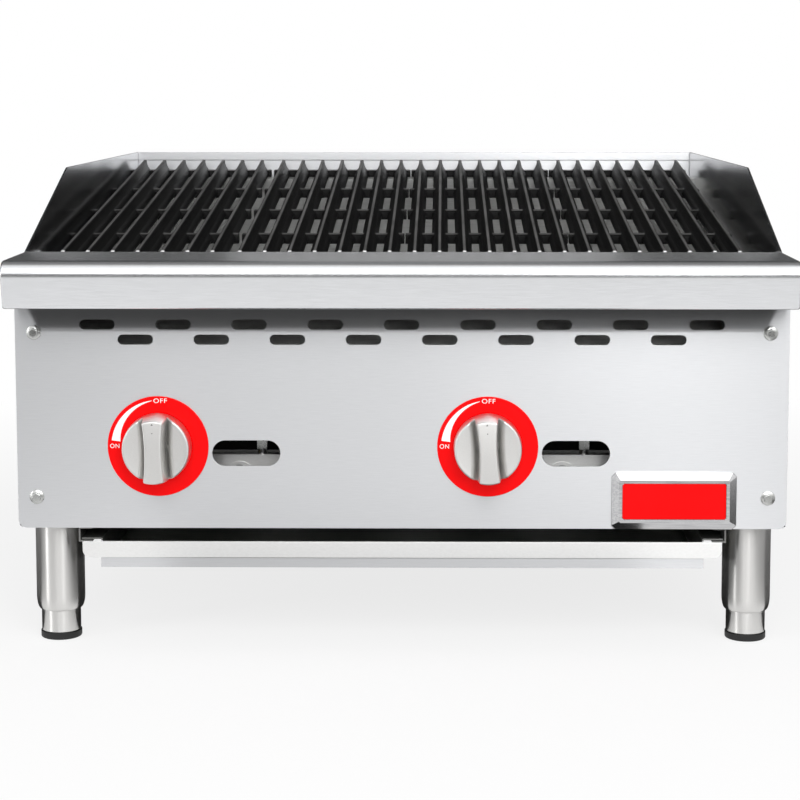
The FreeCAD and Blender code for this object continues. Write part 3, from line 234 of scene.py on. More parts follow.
# Stainless sheet painted pale and almost white, with no grain: a lighter copy of the sheet steel, painted
# light on the tray's plate and on the bracket inside the port.
STEEL_PAINTED_NEAR_WHITE = metal("stainless_bright_annealed", "#fafaf9", "#f2f2f1", "X", roughness=0.40, spread=0.03,
                   scratch=1.2, cloud=60.0, bump=0.05, stretch=0.5, turn=0.25, drawn=2)
# Galvanised sheet: dull mid grey, partly its own dullness and partly painted shade for the tray's pan and
# runners in the recess under the body.
GALVANISED_PAINTED_SHADE = metal("steel_galvanised_dull", "#8e8e8c", "#7c7c7a", "X", roughness=0.46, spread=0.05,
                   scratch=1.2, cloud=60.0, bump=0.1)
# Stainless sheet under a pale, matt heat scale, as on radiants.
RADIANT = coated("stainless_heat_scaled", "#f1f2f2", "#dfe0e0", roughness=0.55, grit=0.8, bump=0.15,
                 metallic=0.25)
# Zinc die casting, satin plated: pale silver with an even fine blast.
SATIN = metal("zinc_casting_satin_plated", "#e2e1df", "#d9d8d6", "Z", roughness=0.42, spread=0.03,
              scratch=0.5, cloud=30.0, bump=0.08, stretch=0.45, drawn=1)
# Zinc die casting, chrome plated: bright and lightly worn.
BRIGHT = metal("zinc_casting_chrome_plated", "#d2d2d3", "#b4b4b6", "X", roughness=0.16, spread=0.05,
               scratch=0.9, cloud=14.0, bump=0.15)
# Steel, zinc plated: pale, with short scuffs and a cloudy dullness.
ZINC = metal("steel_zinc_plated", "#cfd0d0", "#b9bab6", "X", roughness=0.30, spread=0.06,
             scratch=0.8, cloud=12.0, bump=0.2, drawn=2)
# Brass, turned: yellow, with fine tool lines.
BRASS = metal("brass_turned", "#d8b36a", "#bf9650", "Y", roughness=0.28, spread=0.06,
              scratch=0.6, cloud=12.0, bump=0.2)
# Aluminium tube, drawn: pale, with fine lines along it.
ALUMINIUM = metal("aluminium_drawn", "#dcdcde", "#cccccf", "X", roughness=0.30, spread=0.05,
                  scratch=0.6, cloud=20.0, bump=0.2)
# Cast iron, seasoned: near black, its upward faces greyer from rubbed wear and a painted highlight, and its
# front tips painted near white as a highlight.
GRATE_IRON = cast_iron("cast_iron_seasoned", "#181818", "#7c7b7a", roughness=0.50,
                       tips=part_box("grate_1")[0].y + PAINTED_TIP_GLINT_LENGTH)
# Cast iron as it leaves the sand: brown-black and dry.
BURNER_IRON = cast_iron("cast_iron_as_cast", "#2c2a28", "#5b5651", roughness=0.62)
# Black pipe: mill scale under a thin oil film.
PIPE = coated("steel_pipe_oiled_black", "#1f1e1e", "#151414", roughness=0.55, grit=1.2, bump=0.4,
              metallic=0.3)
# Vitreous enamel on steel: a deep even red under a glassy surface.
ENAMEL = coated("enamel_gloss_red", "#f80408", "#ee0306", roughness=0.35, grit=0.9, bump=0.05, shine=0.1)
# Screen-printing ink: opaque white with a slight gloss.
PRINT = coated("screen_print_white", "#fdfbfa", "#f6f3f2", roughness=0.45, grit=0.6, bump=0.05, coat=0.2)
# Engraved mark: dull grey at the bottom of a shallow cut.
INK = coated("engraved_mark_grey", "#6d6c6a", "#5b5a59", roughness=0.50, grit=0.6, bump=0.05)
# Rubber: moulded and carbon-black, matt.
RUBBER = coated("rubber_moulded_black", "#141414", "#0c0c0c", roughness=0.55, grit=0.8, bump=0.25)

NODE_MATERIALS = {
    STEEL_X: ["rear_panel", "base_rail_front", "base_rail_rear"],
    # The bracket deep in the port gets the near-white steel: painted light.
    STEEL_PAINTED_NEAR_WHITE: ["burner_bracket"],
    STEEL_Y: ["side_panel_left", "side_panel_right"],
    ALUMINISED: ["liner_left", "liner_right", "liner_rear", "front_baffle", "grease_trough",
                 "burner_hanger", "grate_rests", "radiant_rails"],
    RADIANT: ["radiant_1", "radiant_2", "radiant_3", "radiant_4"],
    BURNER_IRON: ["burner_left", "burner_right"],
    PIPE: ["gas_manifold", "supply_pipe"],
    BRASS: ["gas_valve_left", "gas_valve_right", "orifice_hoods", "pilot_valves"],
    ALUMINIUM: ["pilot_tubes"],
    ZINC: ["pilot_burners", "air_shutter_left", "air_shutter_right", "valve_stem_left", "valve_stem_right"],
}
for material, names in NODE_MATERIALS.items():
    for name in names:
        mesh = frame["nodes"][name].data
        mesh.materials.clear()
        mesh.materials.append(material)


# ---------------------------------------------------------------- making pieces

def placed(name, data):
    """A new object in the scene."""
    made = bpy.data.objects.new(name, data)
    bpy.context.scene.collection.objects.link(made)
    return made


def piece(name, shape, body, material, replaced=(), sharp=35, weighted=True):
    """Turns a bmesh into a piece on a body. sharp is the turn in degrees above which an edge stays crisp."""
    mesh = bpy.data.meshes.new(name)
    shape.to_mesh(mesh)
    shape.free()
    mesh.materials.append(material)
    mesh.polygons.foreach_set("use_smooth", [True] * len(mesh.polygons))
    mesh.set_sharp_from_angle(angle=radians(sharp))
    made = placed(name, mesh)
    if weighted:
        even = made.modifiers.new("EvenNormals", "WEIGHTED_NORMAL")
        even.keep_sharp = True
        even.weight = 80
    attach(made, body)
    if replaced:
        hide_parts(*replaced)


def copied(node):
    """A merged copy of a node's mesh with its flat triangles joined into whole faces."""
    made = bmesh.new()
    made.from_mesh(frame["nodes"][node].data)
    bmesh.ops.remove_doubles(made, verts=made.verts, dist=WELD)
    bmesh.ops.dissolve_limit(made, angle_limit=FLAT, verts=made.verts, edges=made.edges)
    return made


def ease(made, width, segments=2, angle=35, keep=None):
    """Rounds the edges that turn by more than an angle in degrees. keep chooses among them."""
    edges = [e for e in made.edges if e.is_manifold and e.calc_face_angle() > radians(angle)]
    if keep:
        edges = [e for e in edges if keep(e)]
    bmesh.ops.bevel(made, geom=edges, offset=width * MM, offset_type="OFFSET", segments=segments,
                    profile=0.5, affect="EDGES", clamp_overlap=True, material=-1)
    bmesh.ops.dissolve_degenerate(made, dist=MERGE, edges=made.edges)
    return made


def spun(outline, centre, axis, steps=96):
    """A closed outline of (radius, height) points, spun a full turn about an axis."""
    made = bmesh.new()
    side = Vector((1, 0, 0))
    points = [made.verts.new(centre + side * r * MM + axis * h * MM) for r, h in outline]
    edges = [made.edges.new(pair) for pair in zip(points, points[1:] + points[:1])]
    bmesh.ops.spin(made, geom=points + edges, cent=centre, axis=axis, dvec=(0, 0, 0),
                   angle=2 * pi, steps=steps, use_merge=True, use_duplicate=False)
    bmesh.ops.remove_doubles(made, verts=made.verts, dist=MERGE)
    bmesh.ops.delete(made, geom=[e for e in made.edges if e.is_wire], context="EDGES")
    bmesh.ops.recalc_face_normals(made, faces=made.faces)
    return made


def extruded(made):
    """Extrudes all faces of a bmesh in place and returns the new vertices."""
    found = bmesh.ops.extrude_face_region(made, geom=list(made.faces))["geom"]
    return [v for v in found if isinstance(v, bmesh.types.BMVert)]


def thickened(made, depth):
    """Gives flat faces that look along -Y a body behind them."""
    for vertex in extruded(made):
        vertex.co.y += depth * MM
    bmesh.ops.recalc_face_normals(made, faces=made.faces)
    return made


def arc(centre, radius, start, stop, steps):
    """Points along an arc in an outline, its angles in degrees."""
    turns = [radians(start + (stop - start) * i / steps) for i in range(steps + 1)]
    return [(centre[0] + radius * cos(a), centre[1] + radius * sin(a)) for a in turns]


def joined(made, other):
    """Adds a second bmesh to the first and frees it."""
    mesh = bpy.data.meshes.new("joined")
    other.to_mesh(mesh)
    other.free()
    made.from_mesh(mesh)
    bpy.data.meshes.remove(mesh)
    return made


def middle(node):
    """The centre of a node's box, in metres."""
    low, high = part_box(node)
    return (low + high) / 2


def half_width(node):
    """Half a node's size along X, which is a round node's radius."""
    low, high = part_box(node)
    return (high.x - low.x) / 2 / MM


# ---------------------------------------------------------------- body

BODY_HALF = 305.0
PANEL_FOLD_Y = -306.4
ALIGNED = 0.01


def sheet_piece(node, material, width, fold=0.0, folded=None):
    """A folded sheet from the frame with its cut edges rounded by width, and its folds by fold."""
    made = copied(node)
    if folded:
        ease(made, fold, segments=3, keep=folded)
    piece(node + "_sheet", ease(made, width), "chassis", material, [node])


def at_end(edge):
    """Whether an edge lies on the flat end of a piece as wide as the body."""
    return all(abs(abs(v.co.x) - BODY_HALF * MM) < ALIGNED * MM for v in edge.verts)


def front_corner(edge):
    """Whether an edge is the upright front corner of a side panel."""
    return at_end(edge) and all(v.co.y < PANEL_FOLD_Y * MM for v in edge.verts)


sheet_piece("front_panel", STEEL_X, 0.4)
sheet_piece("front_lip", STEEL_LIP_PAINTED_LIGHTER, 0.6, fold=2.2, folded=at_end)
sheet_piece("rear_panel", STEEL_X, 0.35)
for side in SIDES:
    sheet_piece("side_panel_" + side, STEEL_Y, 0.35, fold=1.3, folded=front_corner)
    sheet_piece("tray_runner_" + side, GALVANISED_PAINTED_SHADE, 0.3)


def cut_away(made, level, normal, above):
    """Cuts a solid mesh at a plane, drops the part above or below it, and closes the cut."""
    every = list(made.verts) + list(made.edges) + list(made.faces)
    bmesh.ops.bisect_plane(made, geom=every, dist=MERGE, plane_co=level, plane_no=normal,
                           clear_outer=above, clear_inner=not above)
    bmesh.ops.holes_fill(made, edges=[e for e in made.edges if e.is_boundary], sides=0)
    bmesh.ops.recalc_face_normals(made, faces=made.faces)
    return made


PLATE_BACK = 1.0
WALL_BACK = 5.0
RIM_DEPTH = 1.6


def drip_tray():
    """The tray's front plate in steel painted near white as painted light, the brushed wall behind it, and
    its pan and flanges in dull grey partly painted as shade.
    """
    low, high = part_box("drip_tray")
    back = Vector((0, low.y + PLATE_BACK * MM, 0))
    wall = Vector((0, low.y + WALL_BACK * MM, 0))
    rim = Vector((0, 0, high.z - RIM_DEPTH * MM))
    rearward = (0, 1, 0)
    plate = cut_away(cut_away(copied("drip_tray"), back, rearward, True), rim, UPWARD, True)
    front = cut_away(cut_away(copied("drip_tray"), back, rearward, False), wall, rearward, True)
    front = cut_away(front, rim, UPWARD, True)
    pan = cut_away(copied("drip_tray"), wall, rearward, False)
    joined(pan, cut_away(cut_away(copied("drip_tray"), wall, rearward, True), rim, UPWARD, False))
    piece("drip_tray_plate", ease(plate, 0.3), "drip_tray", STEEL_PAINTED_NEAR_WHITE, ["drip_tray"])
    piece("drip_tray_wall", ease(front, 0.25), "drip_tray", STEEL_X)
    piece("drip_tray_pan", ease(pan, 0.25), "drip_tray", GALVANISED_PAINTED_SHADE)


drip_tray()


# ---------------------------------------------------------------- grates

BAR_RIDGE = 1.7  # half a bar's width at its ridge
BAR_FOOT = 7.35  # half its width at its foot
BAR_FLANK = 13.0  # height of its sloping sides
BAR_LEVELS = (2.5, 5.0, 7.5, 9.0, 11.0)  # depths below the ridge where the sides bend
FLANK_HOLLOW = 2.2  # power of the sides' curve: 1 is flat
ON_FLANK = 0.15
ON_RIDGE = 0.05


def hollow_flanks(made):
    """Hollows the sides of a grate's bars, so that each stands as a blade on a spreading foot."""
    front = min(made.verts, key=lambda v: v.co.y).co.copy()
    rear = max(made.verts, key=lambda v: v.co.z).co.copy()
    lean = Vector((0, rear.y - front.y, rear.z - front.z)).normalized()
    up = Vector((0, -lean.z, lean.y))
    for level in BAR_LEVELS:
        every = list(made.verts) + list(made.edges) + list(made.faces)
        bmesh.ops.bisect_plane(made, geom=every, dist=MERGE, plane_co=front - up * level * MM, plane_no=up)
    ridge = [v for v in made.verts if (v.co - front).dot(up) > -ON_RIDGE * MM]
    edges = sorted({round(v.co.x / MM, 1) for v in ridge})
    centres = [(a + b) / 2 for a, b in zip(edges[::2], edges[1::2])]
    spread = BAR_FOOT - BAR_RIDGE
    for vertex in made.verts:
        drop = -(vertex.co - front).dot(up) / MM
        centre = min(centres, key=lambda c: abs(vertex.co.x / MM - c))
        side = vertex.co.x / MM - centre
        if 0 < drop < BAR_FLANK and abs(abs(side) - BAR_RIDGE - spread * drop / BAR_FLANK) < ON_FLANK:
            half = BAR_RIDGE + spread * (drop / BAR_FLANK) ** FLANK_HOLLOW
            vertex.co.x = (centre + copysign(half, side)) * MM
    return made


def grate(index):
    """A cast grate: hollow-sided bars on cross bars, every cast edge rounded; its material greys the upward
    ridges, partly as wear and partly as a painted highlight.
    """
    node = f"grate_{index}"
    made = ease(hollow_flanks(copied(node)), 1.0, segments=3, angle=28)
    piece(node + "_casting", made, node, GRATE_IRON, [node], weighted=False)


for index in GRATES:
    grate(index)


# ---------------------------------------------------------------- knobs and bezels

KNOB_TURN = {"left": 0.8, "right": 2.9}  # degrees clockwise that each grip stands off upright
LOBE_DEPTH = 15.0  # from the knob's front to the face that the grip stands on
LOBE_DISH = 0.8  # depth of that face's dip at its middle
VALLEY_DEPTH = 7.0
VALLEY_WIDTH = 6.8
SKIRT_EDGE = 0.4  # chamfer at the knob's back
SKIRT_DRAFT = 0.6
SKIRT_ROUND = 1.4  # radius of the knob's front edge
SKIRT_BORE = 4
SKIRT_MARGIN = 0.2  # the face dips only this far inside the rounded edge
GRIP_WAIST = 6.5
GRIP_FLARE = 1.6
GRIP_REACH = 24.8
GRIP_CROWN = 1.0
GRIP_EDGE = 0.9
GRIP_FRONT = 5.0  # edges nearer the knob's front than this are rounded
GRIP_SINK = 5.0  # how far the grip goes into the face
GRIP_WIDER = 1.1  # extra half width at the grip's foot
GRIP_LONGER = 2.0


def grip_half(z):
    """Half the width of a knob's grip at a height above the knob's axis."""
    return GRIP_WAIST + GRIP_FLARE * (z / GRIP_REACH) ** 2


def knob_skirt(radius, depth):
    """The round body of a knob, in millimetres about its axis: a drafted wall and two shallow lobes."""
    outline = [(SKIRT_BORE, -depth), (radius - SKIRT_EDGE, -depth), (radius, -depth + SKIRT_EDGE)]
    corner = radius - SKIRT_DRAFT - SKIRT_ROUND
    outline += arc((corner, -LOBE_DEPTH - SKIRT_ROUND), SKIRT_ROUND, 0, 90, 6)
    outline += [(ring, -LOBE_DEPTH) for ring in range(round(radius) - 3, 3, -1)]
    made = spun([(r / MM, h / MM) for r, h in outline], Vector(), FORWARD, steps=144)
    fade_from = LOBE_DEPTH + 1.5
    fade_to = LOBE_DEPTH + 3.5
    for vertex in made.verts:
        x, y, z = vertex.co
        if y < fade_to:
            outward = min(max((abs(x) - grip_half(z)) / VALLEY_WIDTH, 0.0), 1.0)
            share = 1.0 if y < fade_from else (fade_to - y) / (fade_to - fade_from)
            vertex.co.y += share * VALLEY_DEPTH * (0.5 + 0.5 * cos(pi * outward))
            if hypot(x, z) < corner - SKIRT_MARGIN:
                vertex.co.y += LOBE_DISH * (1 - (hypot(x, z) / radius) ** 2)
    return made


def knob_grip():
    """The raised grip of a knob: waisted, crowned along its length, its ends and walls drafted."""
    made = bmesh.new()
    bmesh.ops.create_grid(made, x_segments=8, y_segments=32, size=1.0)
    foot = list(made.verts)
    crown = extruded(made)
    for vertices, wider, longer in ((foot, GRIP_WIDER, GRIP_LONGER), (crown, 0.0, 0.0)):
        for vertex in vertices:
            z = vertex.co.y * (GRIP_REACH + longer)
            x = vertex.co.x * (grip_half(z) + wider)
            z = vertex.co.y * sqrt((GRIP_REACH + longer) ** 2 - x ** 2)
            y = GRIP_CROWN * (z / GRIP_REACH) ** 2 if vertices is crown else LOBE_DEPTH + GRIP_SINK
            vertex.co = (x, y, z)
    bmesh.ops.recalc_face_normals(made, faces=made.faces)
    edges = [e for e in made.edges if e.calc_face_angle() > radians(50)]
    edges = [e for e in edges if min(v.co.y for v in e.verts) < GRIP_FRONT]
    bmesh.ops.bevel(made, geom=edges, offset=GRIP_EDGE, offset_type="OFFSET", segments=3, profile=0.5,
                    affect="EDGES", clamp_overlap=True, material=-1)
    return made


def grip_turn(side, size):
    """The rotation of a knob's grip off upright, as a square matrix of a size."""
    return Matrix.Rotation(radians(-KNOB_TURN[side]), size, "Y")


def knob(side):
    """A round satin knob: a raised waisted grip across two lobes that dip beside it."""
    node = "knob_" + side
    low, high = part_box(node)
    centre = middle(node)
    made = knob_skirt(half_width(node), (high.y - low.y) / MM)
    joined(made, knob_grip())
    place = Matrix.Translation((centre.x, low.y, centre.z)) @ Matrix.Scale(MM, 4)
    bmesh.ops.transform(made, matrix=place @ grip_turn(side, 4), verts=made.verts)
    piece(node + "_casting", made, node, SATIN, [node], sharp=40, weighted=False)


PRINT_PROUD = 0.06
PRINT_DEPTH = 0.05
TIP_MARKS = ((22.2, 1.0, 3), (15.6, 0.45, 12))  # height, radius and corners of the head and the dot
FACE_FORWARD = Matrix.Rotation(radians(90), 4, "X")


def knob_mark(side):
    """The arrow head and dot engraved near the top of a grip."""
    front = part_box("knob_" + side)[0].y
    centre = middle("knob_" + side)
    made = bmesh.new()
    for z, size, corners in TIP_MARKS:
        rise = (z / GRIP_REACH) ** 2 - PRINT_PROUD
        place = Matrix.Translation((centre.x, front + rise * MM, centre.z + z * MM))
        bmesh.ops.create_circle(made, cap_ends=True, segments=corners, radius=size * MM,
                                matrix=place @ FACE_FORWARD)
    bmesh.ops.rotate(made, verts=made.verts, cent=centre, matrix=grip_turn(side, 3))
    piece(f"knob_{side}_mark", thickened(made, PRINT_DEPTH), "knob_" + side, INK,
          weighted=False)


BEZEL_BORE = 7.0
BAND_OUTER = 36.9  # radius of the band's outer edge
BAND_INNER = 29.8  # radius of its inner edge at the broad end
BAND_TAPER = 6.7  # how far that edge moves out by the thin end
BAND_START = 172.5  # angle of the broad end in degrees


def bezel(side):
    """A red enamelled disc behind a knob, its rim rolled over."""
    node = "bezel_" + side
    low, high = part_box(node)
    radius = half_width(node)
    thick = (high.y - low.y) / MM
    roll = thick * 0.45
    edge = 0.2
    outline = [(BEZEL_BORE, -thick / 2), (BEZEL_BORE, thick / 2 - edge), (BEZEL_BORE + edge, thick / 2)]
    outline += arc((radius - roll, thick / 2 - roll), roll, 90, 0, 4)
    outline += [(radius, -thick / 2)]
    made = spun(outline, middle(node), FORWARD, steps=128)
    piece(node + "_disc", made, "chassis", ENAMEL, [node])


def band(side, tip):
    """The white band that narrows from ON to OFF. tip is the angle of its thin end in degrees."""
    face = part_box("bezel_" + side)[0].y
    centre = middle("bezel_" + side)
    made = bmesh.new()
    bmesh.ops.create_grid(made, x_segments=48, y_segments=2, size=1.0)
    for vertex in made.verts:
        along = (vertex.co.x + 1) / 2
        turn = radians(BAND_START + (tip - BAND_START) * along)
        inner = BAND_INNER + BAND_TAPER * along ** 0.9
        radius = inner + (BAND_OUTER - inner) * (vertex.co.y + 1) / 2
        vertex.co = (centre.x + radius * cos(turn) * MM, face - PRINT_PROUD * MM,
                     centre.z + radius * sin(turn) * MM)
    piece(f"bezel_{side}_band", thickened(made, PRINT_DEPTH), "chassis", PRINT,
          weighted=False)


LETTER_SPACE = 1.12
LETTER_BODY = 0.02
LETTER_PROUD = 0.04
LETTER_MERGE = 0.0001


def lettering(name, words, side, x, z, height, width):
    """Raised screen-printed letters on a bezel, centred on a place about its axis."""
    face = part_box("bezel_" + side)[0].y
    centre = middle("bezel_" + side)
    curve = bpy.data.curves.new(name + "_curve", "FONT")
    curve.body = words
    curve.align_x = "CENTER"
    curve.align_y = "CENTER"
    curve.space_character = LETTER_SPACE
    curve.extrude = LETTER_BODY
    drawn = placed(name + "_curve", curve)
    mesh = bpy.data.meshes.new_from_object(drawn)
    bpy.data.objects.remove(drawn)
    made = bmesh.new()
    made.from_mesh(mesh)
    bpy.data.meshes.remove(mesh)
    bmesh.ops.remove_doubles(made, verts=made.verts, dist=LETTER_MERGE)
    lows = [min(v.co[i] for v in made.verts) for i in (0, 1)]
    highs = [max(v.co[i] for v in made.verts) for i in (0, 1)]
    for vertex in made.verts:
        across = (vertex.co.x - lows[0]) / (highs[0] - lows[0]) - 0.5
        up = (vertex.co.y - lows[1]) / (highs[1] - lows[1]) - 0.5
        vertex.co = (centre.x + (x + across * width) * MM, face - LETTER_PROUD * MM - vertex.co.z * MM,
                     centre.z + (z + up * height) * MM)
    piece(name, made, "chassis", PRINT, weighted=False)


for side, tip, off_x in (("left", 97, 2.2), ("right", 100, 0.6)):
    knob(side)
    knob_mark(side)
    bezel(side)
    band(side, tip)
    lettering(f"bezel_{side}_off", "OFF", side, x=off_x, z=36.5, height=3.6, width=10.6)
    lettering(f"bezel_{side}_on", "ON", side, x=-34.3, z=0.3, height=3.5, width=7.4)


# ---------------------------------------------------------------- badge and bolts

# The frame's section from its outer foot over the border to its inner foot: inset, height and corner cut.
FRAME_SECTION = ((0, 0, 3.2), (0, 1.5, 3.2), (0.3, 1.9, 3.1), (5.3, 4.7, 1.3), (5.8, 5.0, 1.1),
                 (8.2, 5.0, 1.1), (8.5, 4.7, 1.1), (8.5, 2.6, 1.1), (8.5, 0, 1.1))
FIELD_CORNER = 1.6


def badge_frame():
    """A cast frame with broad sloping sides, cut corners and a narrow flat border."""
    low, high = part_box("badge_frame")
    centre = middle("badge_frame")
    half = half_width("badge_frame")
    tall = (high.z - low.z) / 2 / MM
    made = bmesh.new()
    loops = []
    for inset, height, cut in FRAME_SECTION:
        x, z = half - inset, tall - inset
        corners = [(x, cut - z), (x, z - cut), (x - cut, z), (cut - x, z),
                   (-x, z - cut), (-x, cut - z), (cut - x, -z), (x - cut, -z)]
        points = [made.verts.new((centre.x + u * MM, high.y - height * MM, centre.z + v * MM))
                  for u, v in corners]
        loops.append([made.edges.new(pair) for pair in zip(points, points[1:] + points[:1])])
    for first, second in zip(loops, loops[1:] + loops[:1]):
        bmesh.ops.bridge_loops(made, edges=first + second)
    bmesh.ops.recalc_face_normals(made, faces=made.faces)
    piece("badge_frame_casting", made, "chassis", BRIGHT, ["badge_frame"], sharp=20)


def badge_plate():
    """The red field in the frame, its corners rounded."""
    made = copied("badge_plate")
    upright = [e for e in made.edges if abs((e.verts[0].co - e.verts[1].co).normalized().y) > 0.9]
    bmesh.ops.bevel(made, geom=upright, offset=FIELD_CORNER * MM, offset_type="OFFSET", segments=5,
                    profile=0.5, affect="EDGES", clamp_overlap=True, material=-1)
    piece("badge_plate_field", ease(made, 0.25, angle=50), "chassis", ENAMEL, ["badge_plate"])


badge_frame()
badge_plate()


BOLT_FLANGE = 5.75  # radius of a bolt's flange
BOLT_HEAD = 3.9  # from a bolt's axis to a corner of its hexagon
BOLT_HEIGHT = 2.6
BOLT_MIDDLE = 2.7  # from the panel to the middle of the hexagon


def panel_bolt(column, level, x, z):
    """A hexagon bolt head on its conical flange, the head's top chamfered."""
    centre = Vector((x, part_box("front_panel")[0].y, z))
    outline = [(0, 0), (BOLT_FLANGE, 0), (BOLT_FLANGE, 0.5), (5.4, 0.9), (3.4, 1.6), (0, 1.6)]
    made = spun(outline, centre, FORWARD, steps=48)
    head = bmesh.new()
    place = Matrix.Translation(centre + FORWARD * BOLT_MIDDLE * MM)
    bmesh.ops.create_cone(head, cap_ends=True, segments=6, radius1=BOLT_HEAD * MM, radius2=BOLT_HEAD * MM,
                          depth=BOLT_HEIGHT * MM, matrix=place @ FACE_FORWARD)
    joined(made, ease(head, 0.8, segments=3, angle=70))
    piece(f"panel_bolt_{level}_{column}", made, "chassis", ZINC,
          ["panel_bolts"] if (column, level) == ("left", "upper") else ())


bolt_low, bolt_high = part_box("panel_bolts")
for column, x in zip(SIDES, (bolt_low.x + BOLT_FLANGE * MM, bolt_high.x - BOLT_FLANGE * MM)):
    for level, z in zip(("lower", "upper"), (bolt_low.z + BOLT_FLANGE * MM, bolt_high.z - BOLT_FLANGE * MM)):
        panel_bolt(column, level, x, z)


# ---------------------------------------------------------------- legs and feet

LEG_TOP = 97.0  # counter to the body's underside
LEG_MOUTH = 16.1  # radius of a leg's bore
LEG_SHOULDER = 11.0
LEG_EDGE = 0.3
SLEEVE_EDGE = 0.4
RIM_EDGE = 0.6
PAD_ROUND = 1.3
PAD_MARGIN = 0.2  # from that rounding to a ring that keeps the underside flat


def on_axis(node):
    """Where a node's upright axis meets the counter, in metres."""
    centre = middle(node)
    centre.z = 0
    return centre


def leg(row, side):
    """A polished tube leg whose lower end is drawn in to a rounded shoulder."""
    node = f"leg_{row}_{side}"
    radius = half_width(node)
    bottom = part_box(node)[0].z / MM
    lip = LEG_MOUTH + LEG_EDGE
    outline = [(LEG_MOUTH, bottom + LEG_EDGE), (lip, bottom)]
    for turn in range(10, 91, 10):
        outline.append((lip + (radius - lip) * sin(radians(turn)),
                        bottom + LEG_SHOULDER * (1 - cos(radians(turn)))))
    outline += [(radius, LEG_TOP), (LEG_MOUTH, LEG_TOP)]
    piece(node + "_tube", spun(outline, on_axis(node), UPWARD), "chassis", TUBE, [node])


def foot(row, side):
    """The screw-in foot: a bright sleeve on a black rubber pad."""
    name = f"{row}_{side}"
    body = "foot_" + name
    centre = on_axis(body)
    radius = half_width(body)
    bottom, top = [corner.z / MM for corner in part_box(body)]
    outline = [(0, bottom), (radius - SLEEVE_EDGE, bottom), (radius, bottom + SLEEVE_EDGE),
               (radius, top - RIM_EDGE), (radius - RIM_EDGE, top), (0, top)]
    piece(f"foot_{name}_sleeve", spun(outline, centre, UPWARD), body, TUBE, [body])
    pad = "foot_pad_" + name
    radius = half_width(pad)
    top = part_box(pad)[1].z / MM
    outline = [(0, 0), (radius - PAD_ROUND - PAD_MARGIN, 0)]
    outline += arc((radius - PAD_ROUND, PAD_ROUND), PAD_ROUND, -90, 0, 5)
    outline += [(radius, top - RIM_EDGE), (radius - RIM_EDGE, top), (0, top)]
    piece(f"foot_pad_{name}_moulding", spun(outline, centre, UPWARD), body, RUBBER, [pad])


for row in ROWS:
    for side in SIDES:
        leg(row, side)
        foot(row, side)


# ---------------------------------------------------------------- studio

# Places and sizes from here on are in metres.
FLOOR_HALF = 6.0
WHITE = (1, 1, 1, 1)


def seen_outright(tree):
    """Whether a ray comes from the camera, or by way of metal or glass."""
    paths = add(tree, "LightPath")
    mirrored = add(tree, "Math", {"operation": "MAXIMUM"}, {
        0: paths.outputs["Is Camera Ray"], 1: paths.outputs["Is Glossy Ray"]})
    seen = add(tree, "Math", {"operation": "MAXIMUM"}, {
        0: mirrored.outputs[0], 1: paths.outputs["Is Transmission Ray"]})
    return seen.outputs[0]


def floor():
    """A pale floor that keeps the object's shadow and reads as white to the camera and in reflections."""
    made = bmesh.new()
    bmesh.ops.create_grid(made, x_segments=1, y_segments=1, size=FLOOR_HALF)
    mesh = bpy.data.meshes.new("floor")
    made.to_mesh(mesh)
    made.free()
    plane = placed("floor", mesh)
    material, tree, output = blank("floor_white_vinyl")
    seen = seen_outright(tree)
    place = add(tree, "TexCoord")
    reach = add(tree, "VectorMath", {"operation": "LENGTH"}, {0: place.outputs["Object"]})
    white = ramp(tree, reach.outputs["Value"], low=0.80, high=1.0, start=0.5, stop=1.1)
    share = add(tree, "Math", {"operation": "MULTIPLY"}, {0: seen, 1: white})
    cloth = add(tree, "BsdfDiffuse", inputs={"Color": linear("#f2f2f2")})
    glow = add(tree, "Emission", inputs={"Color": WHITE, "Strength": 1.0})
    both = add(tree, "MixShader", inputs={
        0: share.outputs[0], 1: cloth.outputs["BSDF"], 2: glow.outputs["Emission"]})
    mesh.materials.append(surface(material, tree, output, both))


def surroundings():
    """A soft grey room that the camera, metal and glass see as white."""
    world = bpy.data.worlds.new("studio")
    bpy.context.scene.world = world
    world.use_nodes = True
    tree = world.node_tree
    tree.nodes.clear()
    seen = seen_outright(tree)
    room = add(tree, "Background", inputs={"Color": WHITE, "Strength": 0.55})
    white = add(tree, "Background", inputs={"Color": WHITE, "Strength": 1.0})
    both = add(tree, "MixShader", inputs={
        0: seen, 1: room.outputs["Background"], 2: white.outputs["Background"]})
    add(tree, "OutputWorld", inputs={"Surface": both.outputs["Shader"]})


def flag(name, low, high, tone, slant=0.0):
    """A dark studio card that only reflections see, from its lowest corner to its highest.

    slant is the share of its width by which a hanging card is narrower at the bottom.
    """
    size = Vector(high) - Vector(low)
    flat = min(range(3), key=lambda axis: size[axis])
    across, up = [axis for axis in range(3) if axis != flat]
    made = bmesh.new()
    bmesh.ops.create_grid(made, x_segments=1, y_segments=1, size=0.5)
    for vertex in made.verts:
        corner = Vector(low)
        corner[across] += (vertex.co.x + 0.5) * size[across]
        corner[up] += (vertex.co.y + 0.5) * size[up]
        corner[across] *= 1.0 - slant * (0.5 - vertex.co.y)
        vertex.co = corner
    mesh = bpy.data.meshes.new(name)
    made.to_mesh(mesh)
    made.free()
    card = placed(name, mesh)
    card.visible_camera = False
    card.visible_diffuse = False
    card.visible_shadow = False
    material, tree, output = blank(name + "_felt")
    glow = add(tree, "Emission", inputs={"Color": (tone, tone, tone, 1), "Strength": 1.0})
    mesh.materials.append(surface(material, tree, output, glow))


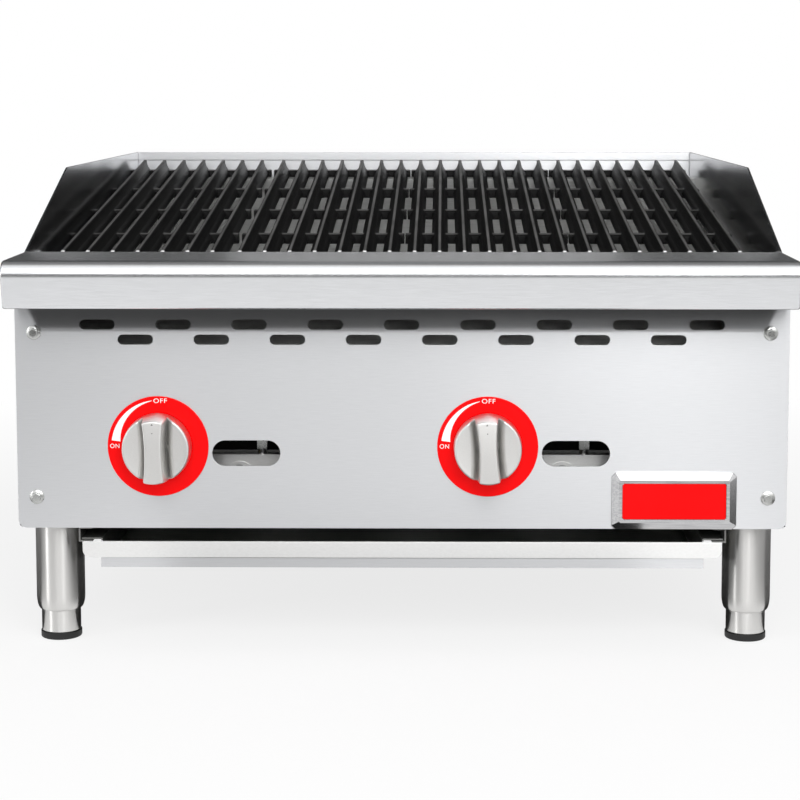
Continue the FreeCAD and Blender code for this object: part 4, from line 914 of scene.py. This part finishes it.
def softbox(name, place, aim, width, height, watts, lit=None):
    """A rectangular lamp aimed at a point.

    Where lit is given, the lamp lights only the pieces whose names begin with it.
    """
    lamp = bpy.data.lights.new(name, "AREA")
    lamp.shape = "RECTANGLE"
    lamp.size = width
    lamp.size_y = height
    lamp.energy = watts
    made = placed(name, lamp)
    made.location = place
    made.rotation_euler = (Vector(aim) - Vector(place)).to_track_quat("-Z", "Y").to_euler()
    made.visible_camera = False
    if lit:
        group = bpy.data.collections.new(name + "_group")
        for thing in bpy.data.objects:
            if thing.name.startswith(lit):
                group.objects.link(thing)
        made.light_linking.receiver_collection = group


def camera():
    """A long lens a little higher than the grates, aimed slightly down with a small lens shift."""
    lens = bpy.data.cameras.new("camera")
    lens.lens = 90.467
    lens.shift_x = -0.03
    lens.shift_y = -0.13
    made = placed("camera", lens)
    made.location = (0.0324, -1.878, 0.446)
    made.rotation_euler = (radians(90 - 5.936), 0, radians(0.54))
    bpy.context.scene.camera = made


floor()
surroundings()
# Behind and beside the object: what the splash guards, the grates and the rail's top reflect.
flag("rear_left_flag", (-3, 1.5, 0.0), (-0.33, 1.5, 2.6), 0.04)
flag("rear_flag", (-0.33, 1.5, 0.42), (0.33, 1.5, 2.6), 0.28)
flag("rear_right_flag", (0.33, 1.5, 0.0), (3, 1.5, 2.6), 0.04)
flag("ceiling_flag", (-3, -0.6, 2.6), (3, 1.5, 2.6), 0.20)
flag("left_flag", (-1.5, -0.3, 0.02), (-1.5, 1.5, 2.0), 0.06)
flag("right_flag", (1.5, -0.3, 0.02), (1.5, 1.5, 2.0), 0.06)
# In front and on the floor: what the rail's face, the panel, the legs and the tray reflect.
flag("front_flag", (-3, -3.4, 0.0), (3, -3.4, 0.85), 0.08)
flag("front_floor_flag", (-3, -3.4, 0.003), (3, -1.10, 0.003), 0.08)
# A dark card just in front of the panel under the rail, seen only in reflections: a painted shadow of the
# lip on the panel.
flag("rail_flag", (-0.2985, -0.3110, 0.2555), (0.2985, -0.3110, 0.2768), 0.07, slant=0.04)
flag("leg_floor_flag", (-0.20, -0.45, 0.004), (0.20, -0.275, 0.004), 0.03)
# A dark card on the floor beneath the object, seen only in reflections: painted shade where the object's
# shadow lies.
flag("under_flag", (-0.40, -0.27, 0.003), (0.38, 0.33, 0.003), 0.02)
flag("left_floor_flag", (-0.95, -0.43, 0.004), (-0.40, 0.5, 0.004), 0.14)
flag("right_floor_flag", (0.38, -0.60, 0.004), (0.95, 0.5, 0.004), 0.14)
softbox("main", (0.55, -2.4, 1.55), (0.1, -0.3, 0.2), width=3.0, height=1.6, watts=42)
softbox("left_strip", (-2.0, -1.5, 0.7), (0, -0.3, 0.2), width=0.35, height=1.4, watts=9)
softbox("right_strip", (0.35, -1.7, 0.9), (0, -0.3, 0.2), width=0.20, height=0.9, watts=2.8)
softbox("radiant_lamp", (0, 0.08, 0.9), (0, 0.08, 0.2), width=0.60, height=0.50, watts=6, lit="radiant_")
camera()

bpy.context.scene.view_settings.view_transform = "Standard"
